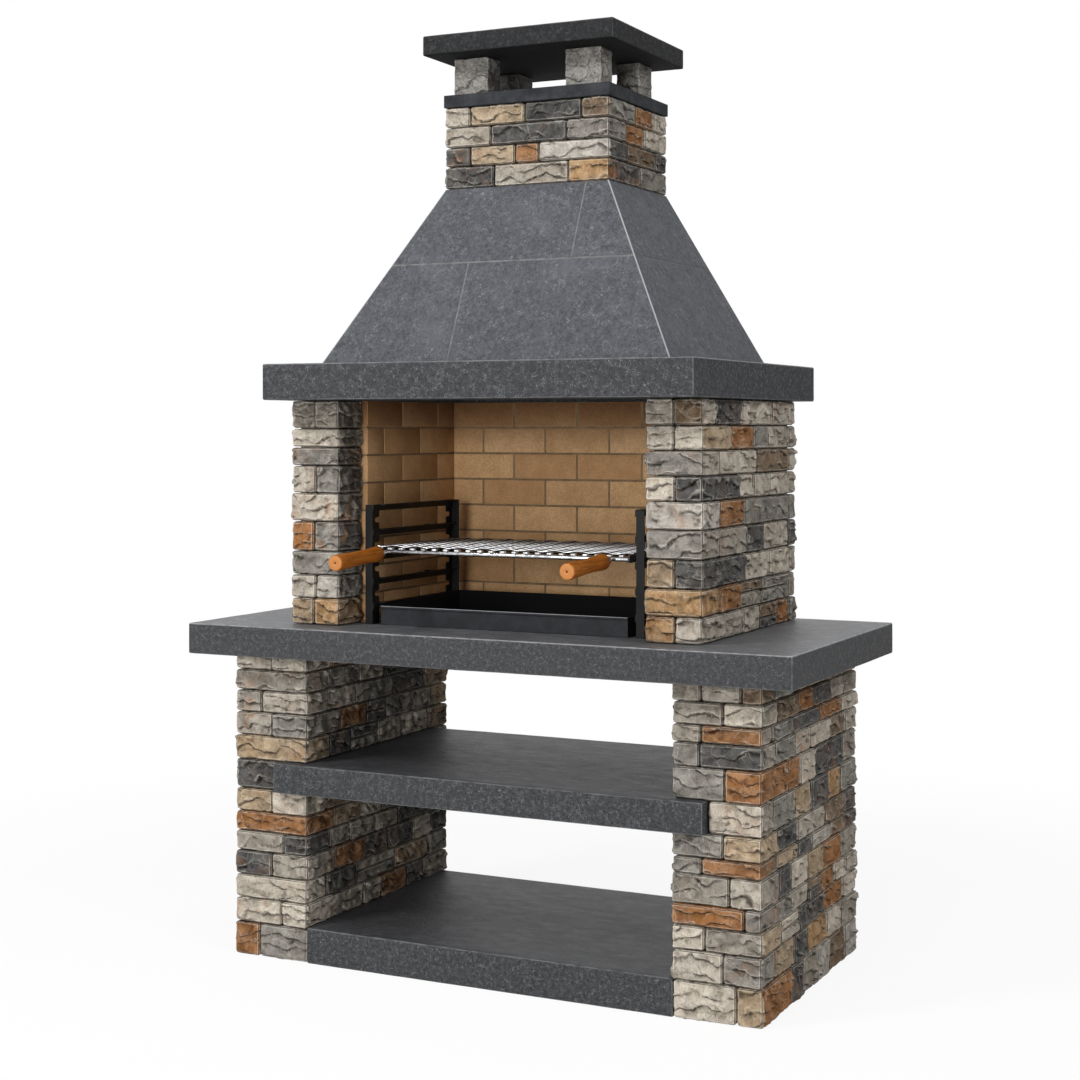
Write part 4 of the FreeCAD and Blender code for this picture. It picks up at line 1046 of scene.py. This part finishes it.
# %% [markdown]
# The bricks' mortar lies a little behind their faces. It is the model's own panel and only needs a finish,
# as do the fill, the rear wall and the cast shell under the hood, which hardly show from the front. One
# function makes these finishes from two shades and a grain.


# %% Mortar, fill and castings
def mineral(name, dark, light, scale, grain, depth):
    """A rough mineral surface: two shades in patches, with a fine bump."""
    made, graph, shader = material(name)
    place = graph.here()
    patches = graph.remap(graph.noise(place, scale, 5.0, 0.62), 0.3, 0.7)
    colour = graph.mix(patches, dark, light)
    dust = graph.remap(graph.noise(place, grain, 4.0, 0.7), 0.45, 0.75)
    colour = graph.mix(graph.times(dust, 0.3), colour, light)
    graph.plug(shader["Base Color"], colour)
    shader["Roughness"].default_value = 0.92
    graph.plug(shader["Normal"], graph.bump(graph.noise(place, grain, 5.0, 0.65), depth, 0.8))
    return made


def dress(finish, *nodes):
    """Gives a model node that keeps its shape a new finish."""
    for node in nodes:
        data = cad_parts[node].data
        data.materials.clear()
        data.materials.append(finish)


dress(mineral("brick_mortar", paint(118, 98, 74), paint(148, 124, 96), 30.0, 300.0, 0.0012),
      *(f"{side}_lining_mortar" for side in LININGS))
dress(mineral("wall_fill", paint(104, 98, 90), paint(140, 134, 124), 24.0, 180.0, 0.004),
      "left_pier_fill", "right_pier_fill", "left_jamb_fill", "right_jamb_fill")
dress(mineral("rear_render", paint(150, 146, 140), paint(178, 174, 167), 8.0, 190.0, 0.003), "rear_wall")
dress(mineral("hood_cast", paint(120, 116, 110), paint(150, 146, 140), 10.0, 160.0, 0.003),
      "hood_shell", "chimney_flue")
print("mortar, fill and castings have their finish")

# %% [markdown]
# The hood wears thin slate tiles, cloudy grey with fine pale hair lines. Dust and wear whiten the hips. A
# point lies on a hip when it is near two neighbouring faces of the hood at once, and the hood's slopes tell
# that. The tiles on the right get a lighter copy of the slate and the others a darker one: painted light
# and shade.

# %% Slate finish
HOOD_FOOT = {"side": 460 * MM, "front": -317 * MM, "rear": 324 * MM, "level": 1454 * MM}
HOOD_HEAD = {"side": 221.5 * MM, "front": -120.5 * MM, "rear": 239.5 * MM, "level": 1889 * MM}
HIP_WEAR = 4.5 * MM


def hood_slate(name, shade):
    made, graph, shader = material(name, 0.25)
    place = graph.here()
    cloud = graph.noise(place, 7.0, 7.0, 0.72, 0.4)
    wrinkles, hairs = leathered(graph, place, 110.0)
    colour = graph.mix(graph.remap(wrinkles, 0.3, 0.7), paint(56, 57, 61), paint(84, 86, 91))
    colour = graph.mix(graph.remap(cloud, 0.46, 0.68, 0.0, 0.5), colour, paint(96, 98, 103))
    colour = graph.mix(graph.times(hairs, 0.55), colour, paint(140, 142, 146))
    # shade scales the whole colour, which makes the copies with painted light and shade
    graph.plug(shader["Base Color"], graph.tinted(colour, (shade, shade, shade, 1.0)))
    graph.plug(shader["Roughness"], graph.remap(cloud, 0.3, 0.7, 0.62, 0.78, smooth=False))
    graph.plug(shader["Normal"], graph.bump(wrinkles, 0.006, 0.7))
    return made


def worn_hips(made):
    """Whitens a finish along the hood's four hips."""
    graph, shader = opened(made)
    x, y, z = graph.axes(graph.here())
    plane = {face: graph.remap(z, HOOD_FOOT["level"], HOOD_HEAD["level"], HOOD_FOOT[face], HOOD_HEAD[face],
                               smooth=False)
             for face in ("side", "front", "rear")}
    out_sideways = graph.math("SUBTRACT", graph.math("ABSOLUTE", x), plane["side"])
    out_endways = graph.math("MAXIMUM", graph.math("SUBTRACT", plane["front"], y),
                             graph.math("SUBTRACT", y, plane["rear"]))
    near = graph.remap(graph.math("MINIMUM", out_sideways, out_endways), -HIP_WEAR, -0.5 * HIP_WEAR, 0.0, 0.8)
    graph.plug(shader["Base Color"], graph.mix(near, fed(shader["Base Color"]), paint(172, 173, 175)))
    return made


# a darker copy and a lighter one for the tiles on the right: painted light and shade
slate_finish = worn_hips(hood_slate("hood_slate", 0.94))
pale_slate = worn_hips(hood_slate("pale_slate", 1.12))
print("slate finish has", len(slate_finish.node_tree.nodes), "nodes")

# %% [markdown]
# A tile is a flat solid, so its own shape is kept and only its edges are softened: the model's triangles
# are merged back into flat faces, and a small bevel goes round them. The same treatment suits the coping
# round the chimney's mouth. Pale grout fills the joints between the tiles.

# %% Tiles, grout and coping
MERGE = 1e-5                 # corners closer than this are one
FLAT_ANGLE = 1.0             # faces that meet at less than this are one, degrees
BEVEL_STEPS = 2
TILE_BEVEL = 1.2 * MM
COPING_BEVEL = 2 * MM


def softened(node, width):
    """A copy of a node's mesh with its flat faces made whole and its edges bevelled."""
    bm = bmesh.new()
    bm.from_mesh(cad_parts[node].data)
    bmesh.ops.remove_doubles(bm, verts=bm.verts, dist=MERGE)
    bmesh.ops.dissolve_limit(bm, angle_limit=math.radians(FLAT_ANGLE), verts=bm.verts, edges=bm.edges)
    bmesh.ops.bevel(bm, geom=bm.edges[:], offset=width, segments=BEVEL_STEPS, profile=0.5, affect="EDGES",
                    clamp_overlap=True)
    mesh = bpy.data.meshes.new(node)
    bm.to_mesh(mesh)
    bm.free()
    return mesh


tiles = sorted(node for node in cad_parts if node.startswith("hood_") and node.endswith("_tile"))
for node in tiles:
    tile = softened(node, TILE_BEVEL)
    # the tiles on the right get the copy with painted light
    tile.materials.append(pale_slate if "right" in node and "front" not in node else slate_finish)
    add_piece(node.replace("_tile", "_slate"), tile, "masonry", "hood_slate", node)
coping = softened("chimney_collar", COPING_BEVEL)
coping.materials.append(mineral("coping_granite", paint(34, 36, 39), paint(58, 60, 63), 24.0, 170.0, 0.004))
add_piece("chimney_coping", coping, "masonry", "slab_granite", "chimney_collar")
dress(worn_hips(mineral("tile_grout", paint(88, 89, 91), paint(114, 115, 116), 40.0, 260.0, 0.001)),
      "hood_grout")
print(len(tiles), "tiles")

# %% [markdown]
# Four short posts of light granite hold the cap clear of the flue. They are rough all round, so they go
# through the same split-face tree as the stones, with less relief and a speckled grey finish, and painted
# shade darkens the creases where their chips meet.

# %% Cap posts
POST_RADIUS = 4 * MM
POST_CELL = 6 * MM
POST_RELIEF = {"relief_share": 0.7, "grain_height": 3 * MM, "wobble": 1 * MM, "edge_width": 10 * MM}


def post_granite():
    made, graph, shader = material("post_granite")
    place = graph.here()
    ragged = bent(graph, graph.attribute("rock", "Vector"))
    relief, *_ = split_relief(graph, ragged)
    crystals = graph.red(graph.cells(place, 300.0, output="Color"))
    colour = graph.mix(crystals, paint(124, 121, 116), paint(152, 148, 143))
    # painted shade in the creases where the chips meet
    crease = graph.cells(ragged, 0.8 * CHIPS, "DISTANCE_TO_EDGE")
    colour = graph.mix(graph.remap(crease, 0.0, 0.05, 0.55, 0.0), colour, paint(84, 81, 77))
    wrinkles, hairs = leathered(graph, place, 50.0)
    colour = graph.mix(graph.remap(wrinkles, 0.35, 0.55, 0.45, 0.0), colour, paint(80, 78, 74))
    colour = graph.mix(graph.times(hairs, 0.5), colour, paint(196, 192, 184))
    worn = graph.remap(graph.attribute("edge"), 0.001, 0.004, 0.4, 0.0)
    colour = graph.mix(worn, colour, paint(176, 172, 165))
    graph.plug(shader["Base Color"], colour)
    shader["Roughness"].default_value = 0.85
    broad = graph.bump(relief, 1.0, 0.8)
    graph.plug(shader["Normal"], graph.bump(wrinkles, 0.012, 0.8, broad))
    return made


post_finish = post_granite()
for number, node in enumerate(n for n in sorted(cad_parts) if n.startswith("cap_post_")):
    low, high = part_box(node)
    part = rounded_block(low, high, UPRIGHT_SIDES, POST_RADIUS, POST_CELL) | PLAIN
    part["seed"] = [number * 3.0, 1, 2]
    post = run_tree(split_face, mesh_of(node, [part]), finish=post_finish, **POST_RELIEF)
    add_piece(node + "_granite", post, "masonry", "post_granite", node)
    print(node, len(post.polygons), "faces")

# %% [markdown]
# The racks are folded steel with a heat-proof black paint. Their shapes are right as they are, so they only
# get the finish: nearly black, a little uneven, with a dull sheen.


# %% Painted steel
def painted_steel(name, dark, light, roughness):
    made, graph, shader = material(name, 0.22)
    place = graph.here()
    cloud = graph.noise(place, 30.0, 5.0, 0.6)
    graph.plug(shader["Base Color"], graph.mix(graph.remap(cloud, 0.35, 0.7), dark, light))
    graph.plug(shader["Roughness"], graph.remap(cloud, 0.3, 0.7, roughness, roughness + 0.16, smooth=False))
    graph.plug(shader["Normal"], graph.bump(graph.noise(place, 500.0, 3.0, 0.6), 0.0004, 0.5))
    return made


RACK_NODES = [f"{side}_rack_{part}" for side in ("left", "right")
              for part in ("front_post", "rear_post", "bars")]
dress(painted_steel("black_steel", paint(8, 8, 9), paint(17, 17, 19), 0.45), *RACK_NODES, "rack_wall_pins")
print(len(RACK_NODES), "rack nodes painted")

# %% [markdown]
# The charcoal tray is painted steel too. Its edges are softened, because its rim catches the light, a
# painted highlight runs along the top of its front wall, and soot blackens it everywhere behind that wall.

# %% Charcoal tray
SOOT_START = 2.2 * MM        # behind the tray's front face
FRONT_WALL = 46 * MM         # height of the tray's front wall
RIM_HIGHLIGHT = 1.6 * MM          # painted highlight along the top of the front wall
TRAY_BEVEL = 0.8 * MM


def sooty_tray():
    made = painted_steel("tray_steel", paint(26, 28, 31), paint(38, 40, 44), 0.4)
    graph, shader = opened(made)
    low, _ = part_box("charcoal_tray")
    _, y, z = graph.axes(graph.here())
    behind = graph.remap(y, low.y + SOOT_START, low.y + 2 * SOOT_START)
    # painted highlight along the top of the front wall
    rim_level = low.z + FRONT_WALL
    rim_highlight = graph.times(graph.remap(z, rim_level - RIM_HIGHLIGHT, rim_level - 0.5 * RIM_HIGHLIGHT),
                      graph.math("SUBTRACT", 1.0, behind))
    colour = graph.mix(graph.times(rim_highlight, 0.7), fed(shader["Base Color"]), paint(150, 152, 156))
    graph.plug(shader["Base Color"], graph.mix(behind, colour, paint(9, 9, 10)))
    gloss = fed(shader["Roughness"])
    graph.plug(shader["Roughness"], graph.remap(behind, 0.0, 1.0, gloss, 0.95, smooth=False))
    return made


tray = softened("charcoal_tray", TRAY_BEVEL)
tray.materials.append(sooty_tray())
add_piece("charcoal_tray_steel", tray, "tray", "tray_steel", "charcoal_tray")
print("tray has", len(tray.polygons), "faces")

# %% [markdown]
# The grill is a mesh of plated wires. Crimped wires dip over and under each other, so each is a wavy line
# swept with a small circle. One geometry tree draws a wavy wire, copies it across the grill and makes it
# solid, and it serves both directions with other sizes. A second tree only repeats a mesh that it is given.

# %% Wire trees
WIRE_SIDES = 8


def repeat(graph, piece, given, result):
    """Copies a piece along a row, makes it plain mesh and gives it its finish."""
    places = graph.node("GeometryNodeMeshLine")
    graph.plug(places.inputs["Count"], given["Count"])
    graph.plug(places.inputs["Offset"], given["Step"])
    copies = graph.node("GeometryNodeInstanceOnPoints")
    graph.plug(copies.inputs["Points"], places.outputs[0])
    graph.plug(copies.inputs["Instance"], piece)
    finish_tree(graph, copies.outputs[0], given, result)


def row_tree():
    """A tree that repeats any small mesh along a row."""
    tree, graph, given, result = geometry_tree("row", [
        ("Step", "Vector"), ("Count", "Int"), ("Finish", "Material")])
    repeat(graph, given["Geometry"], given, result)
    return tree


def crimped_wires_tree():
    tree, graph, given, result = geometry_tree("crimped_wires", [
        ("Start", "Vector"), ("Run", "Vector"), ("Step", "Vector"), ("Count", "Int"), ("Waves", "Float"),
        ("Crimp", "Float"), ("Diameter", "Float"), ("Points", "Int"), ("Finish", "Material")])
    line = graph.node("GeometryNodeCurvePrimitiveLine")
    graph.plug(line.inputs["Start"], given["Start"])
    graph.plug(line.inputs["End"], graph.vector("ADD", given["Start"], given["Run"]))
    fine = graph.node("GeometryNodeResampleCurve")
    graph.plug(fine.inputs["Curve"], line.outputs[0])
    graph.plug(fine.inputs["Count"], given["Points"])
    share = graph.node("GeometryNodeSplineParameter").outputs["Factor"]
    turn = graph.times(graph.times(share, given["Waves"]), math.pi)
    rise = graph.times(graph.math("SINE", turn), given["Crimp"])
    lift = graph.node("ShaderNodeCombineXYZ")
    graph.plug(lift.inputs["Z"], rise)
    wavy = graph.node("GeometryNodeSetPosition")
    graph.plug(wavy.inputs["Geometry"], fine.outputs[0])
    graph.plug(wavy.inputs["Offset"], lift.outputs[0])
    ring = graph.node("GeometryNodeCurvePrimitiveCircle")
    ring.inputs["Resolution"].default_value = WIRE_SIDES
    graph.plug(ring.inputs["Radius"], graph.math("DIVIDE", given["Diameter"], 2.0))
    solid = graph.node("GeometryNodeCurveToMesh")
    graph.plug(solid.inputs["Curve"], wavy.outputs[0])
    graph.plug(solid.inputs["Profile Curve"], ring.outputs[0])
    solid.inputs["Fill Caps"].default_value = True
    repeat(graph, solid.outputs[0], given, result)
    return tree


crimped_wires = crimped_wires_tree()
print("crimped-wire tree has", len(crimped_wires.nodes), "nodes")

# %% [markdown]
# The plating is bright where hands and food keep it clean. The fire dulls the long wires between the rods,
# and the cross wires carry a painted highlight on their crests and painted shade below them. Their finish
# follows the same waves as the tree, so it knows which side of a wire is up.

# %% Plating
LONG_WIRES = 22
CROSS_WIRES = 13
CRIMP = 1.7 * MM
BURNT = paint(16, 16, 16)
BURNT_FADE = 12 * MM         # from bright to burnt, along a wire
CREST_HIGHLIGHT = (0.35 * MM, 1.15 * MM)     # a wire turns from painted shade to painted highlight between these heights above its middle


def plated(name, colour, roughness, burnt=None):
    made, graph, shader = material(name, 0.5, 1.0)
    place = graph.here()
    haze = graph.noise(place, 60.0, 4.0, 0.6)
    bright = graph.mix(graph.remap(haze, 0.35, 0.7), colour, paint(150, 150, 152))
    if burnt:
        y = graph.axes(place)["Y"]
        front = graph.remap(y, burnt[0], burnt[0] + BURNT_FADE)
        rear = graph.remap(y, burnt[1] - BURNT_FADE, burnt[1], 1.0, 0.0)
        bright = graph.mix(graph.times(front, rear), bright, BURNT)
    graph.plug(shader["Base Color"], bright)
    graph.plug(shader["Roughness"], graph.remap(haze, 0.3, 0.7, roughness, roughness + 0.14, smooth=False))
    return made


def crested(name, node, waves, crimp):
    """Plating on a row of crimped wires, with a painted highlight on top and painted shade below. It follows
    the wires' own waves.
    """
    made, graph, shader = material(name, 0.5, 1.0)
    low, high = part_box(node)
    x, _, z = graph.axes(graph.here())
    turn = graph.remap(x, low.x, high.x, 0.0, waves * math.pi, smooth=False)
    crest = graph.times(graph.math("SINE", turn), crimp)
    up = graph.math("SUBTRACT", graph.math("SUBTRACT", z, (low.z + high.z) / 2), crest)
    lit_crest = graph.remap(up, *CREST_HIGHLIGHT)
    graph.plug(shader["Base Color"], graph.mix(lit_crest, paint(12, 12, 13), paint(232, 232, 233)))
    shader["Roughness"].default_value = 0.34
    return made


burnt_span = (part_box("grill_front_rod")[1].y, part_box("grill_rear_rod")[0].y)
chrome = plated("grill_chrome", paint(226, 227, 229), 0.16)
long_finish = plated("burnt_chrome", paint(236, 236, 237), 0.28, burnt_span)
flat_finish = plated("worn_chrome", paint(250, 250, 250), 0.5)
cross_finish = crested("crest_chrome", "grill_cross_wires", LONG_WIRES, -CRIMP)
print("wires are burnt from", [round(y, 3) for y in burnt_span])

# %% [markdown]
# Both rows of wires take their places from the model's own straight wires. Where the long wires lie on the
# rods their ends are hammered flat, and those bright flats are what the eye sees as a row of dashes above
# each rod.

# %% Rows of wires
WIRE = 4 * MM
WAVE_POINTS = 4              # points along one wave of a wire
FLAT_SIZE = Vector((11, 12, 4.4)) * MM
FLAT_RADIUS = 1.2 * MM


def wire_row(node, axis, count, waves, crimp, finish):
    """A row of crimped wires where a node's straight ones lie, running along one axis."""
    low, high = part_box(node)
    other = 1 - axis
    start = [0, 0, (low.z + high.z) / 2]
    width = FLAT_SIZE.x if axis == 1 else WIRE
    start[axis], start[other] = low[axis], low[other] + width / 2
    run, step = [0, 0, 0], [0, 0, 0]
    run[axis] = high[axis] - low[axis]
    step[other] = (high[other] - low[other] - width) / (count - 1)
    wires = run_tree(crimped_wires, bpy.data.meshes.new(node), start=start, run=run, step=step, count=count,
                     waves=float(waves), crimp=crimp, diameter=WIRE, points=WAVE_POINTS * waves + 1,
                     finish=finish)
    wires.shade_smooth()
    add_piece(node + "_crimped", wires, "grill", "grill_chrome", node)
    print(node, count, "wires,", len(wires.polygons), "faces")


def flat_row(name, low, step):
    """The hammered ends of the long wires along one rod."""
    flat = rounded_block(low, low + FLAT_SIZE, [], FLAT_RADIUS)
    mesh = bpy.data.meshes.new(name)
    mesh.from_pydata(flat["points"].tolist(), [], flat["faces"])
    mesh.shade_smooth()
    flats = run_tree(row_tree(), mesh, step=(step, 0, 0), count=LONG_WIRES, finish=flat_finish)
    add_piece(name, flats, "grill", "grill_chrome")


wire_row("grill_long_wires", 1, LONG_WIRES, CROSS_WIRES, CRIMP, long_finish)
wire_row("grill_cross_wires", 0, CROSS_WIRES, LONG_WIRES, -CRIMP, cross_finish)
wires_low, wires_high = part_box("grill_long_wires")
wire_step = (wires_high.x - wires_low.x - FLAT_SIZE.x) / (LONG_WIRES - 1)
flat_row("grill_front_wire_flats", wires_low, wire_step)
flat_row("grill_rear_wire_flats", Vector((wires_low.x, wires_high.y - FLAT_SIZE.y, wires_low.z)), wire_step)
print(2 * LONG_WIRES, "hammered wire ends")
dress(painted_steel("grill_side_steel", paint(44, 45, 48), paint(70, 71, 74), 0.34), "grill_side_bars")

# %% [markdown]
# Each handle is a wire fork, a steel ferrule and a turned wooden grip. Turned pieces are lathe work: a
# profile of distances along the axis and radii, spun round. The grip swells at both ends, has one fine ring
# near its free end and a small hole in the end grain. How far along the axis a point lies is kept with it,
# because end grain is paler than the turned side.

# %% Lathe
LATHE_STEPS = 48
FERRULE_PROFILE = (
    (0, 0), (0, 9), (0.6, 10), (4, 10.4), (5, 9.6), (6, 10.6), (21.4, 11.8), (22, 11.4), (22, 0))
GRIP_PROFILE = (
    (0, 0), (0, 13), (0.7, 14.6), (2.2, 16.8), (4.6, 18.4), (8, 19), (20, 18.8), (50, 17.2), (85, 16.5),
    (120, 17.1), (150, 18.5), (166.5, 19), (168, 18.8), (169, 18.6), (170, 18.8), (171.5, 19), (190.5, 19),
    (192.6, 18.5), (194.2, 17.3), (195, 15.4), (195, 8), (195, 2.6), (194.2, 2.3), (187, 2.2), (186, 0))


def lathe(profile, y_start):
    """A turned mesh round an axis that runs towards -Y, with its profile in millimetres."""
    bm = bmesh.new()
    rings = []
    for along, radius in profile:
        y = y_start - along * MM
        if radius == 0:
            rings.append([bm.verts.new((0, y, 0))])
            continue
        turns = [math.tau * i / LATHE_STEPS for i in range(LATHE_STEPS)]
        rings.append([bm.verts.new((radius * MM * math.cos(t), y, radius * MM * math.sin(t))) for t in turns])
    for near, far in zip(rings, rings[1:]):
        for i in range(LATHE_STEPS):
            j = (i + 1) % LATHE_STEPS
            ring = [near[i % len(near)], near[j % len(near)], far[j % len(far)], far[i % len(far)]]
            bm.faces.new(list(dict.fromkeys(ring)))
    bmesh.ops.recalc_face_normals(bm, faces=bm.faces)
    mesh = bpy.data.meshes.new("turned")
    bm.to_mesh(mesh)
    bm.free()
    along = mesh.attributes.new("along", "FLOAT", "POINT")
    along.data.foreach_set("value", [y_start - vertex.co.y for vertex in mesh.vertices])
    mesh.shade_smooth()
    return mesh


print("the grip's profile has", len(GRIP_PROFILE), "points")

# %% [markdown]
# The grips are of a warm brown wood with fine pores along the grain. Their turned ends are paler, and hands
# have darkened the shoulder next to the ferrule.

# %% Grip wood
GRIP_LENGTH = 195 * MM


def grip_wood():
    made, graph, shader = material("grip_wood", 0.25)
    rings = graph.noise(graph.here((60.0, 3.0, 60.0)), 3.0, 5.0, 0.6, 0.8)
    colour = graph.mix(graph.remap(rings, 0.32, 0.68), paint(114, 60, 14), paint(156, 92, 28))
    pores = graph.remap(graph.noise(graph.here((420.0, 16.0, 420.0)), 2.0, 3.0, 0.6), 0.6, 0.72)
    colour = graph.mix(graph.times(pores, 0.5), colour, paint(112, 58, 20))
    along = graph.attribute("along")
    end_grain = graph.remap(along, GRIP_LENGTH - 1.0 * MM, GRIP_LENGTH - 0.3 * MM)
    colour = graph.mix(graph.times(end_grain, 0.8), colour, paint(184, 122, 68))
    shoulder = graph.remap(along, 3 * MM, 14 * MM, 0.4, 0.0)
    colour = graph.mix(shoulder, colour, paint(92, 46, 12))
    graph.plug(shader["Base Color"], colour)
    graph.plug(shader["Roughness"], graph.remap(rings, 0.3, 0.7, 0.5, 0.38, smooth=False))
    graph.plug(shader["Normal"], graph.bump(pores, -0.0003, 0.5))
    return made


wood = grip_wood()
print("grip wood has", len(wood.node_tree.nodes), "nodes")

# %% [markdown]
# The rods are turned too, because a lathe makes a round bar as easily as a grip. Each handle is turned
# along its own axis first and then set down on the front rod, from which it droops a little. The fork keeps
# its own shape.

# %% Rods and handles
ROD_BEVEL = 0.5              # millimetres, as in the profiles
HANDLE_DROOP = 3.0           # degrees
FORK_LENGTH = 24 * MM
FERRULE_LENGTH = 22 * MM
for node in ("grill_front_rod", "grill_rear_rod"):
    low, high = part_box(node)
    thick, length = (high.z - low.z) / 2 / MM, (high.x - low.x) / MM
    thin = thick - ROD_BEVEL
    rod = lathe(((0, 0), (0, thin), (ROD_BEVEL, thick), (length - ROD_BEVEL, thick), (length, thin),
                 (length, 0)), 0)
    rod.transform(Matrix.Translation((low.x, (low.y + high.y) / 2, (low.z + high.z) / 2))
                  @ Matrix.Rotation(math.radians(90), 4, "Z"))
    rod.materials.append(chrome)
    add_piece(node + "_round", rod, "grill", "grill_chrome", node)
rod_low, rod_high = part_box("grill_front_rod")
rod_axis = (rod_low + rod_high) / 2
ferrule_start = rod_low.y - FORK_LENGTH - rod_axis.y
turned = {"ferrule": (FERRULE_PROFILE, ferrule_start, chrome, "grill_chrome"),
          "grip": (GRIP_PROFILE, ferrule_start - FERRULE_LENGTH, wood, "grip_wood")}
for side in ("left", "right"):
    grip_low, grip_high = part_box(f"{side}_handle_grip")
    pivot = Vector(((grip_low.x + grip_high.x) / 2, rod_axis.y, rod_axis.z))
    droop = Matrix.Translation(pivot) @ Matrix.Rotation(math.radians(HANDLE_DROOP), 4, "X")
    for piece, (profile, start, finish, slot) in turned.items():
        mesh = lathe(profile, start)
        mesh.transform(droop)
        mesh.materials.append(finish)
        add_piece(f"{side}_turned_{piece}", mesh, "grill", slot, f"{side}_handle_{piece}")
    dress(chrome, f"{side}_handle_fork")
    print(side, "handle at", round(pivot.x, 3))
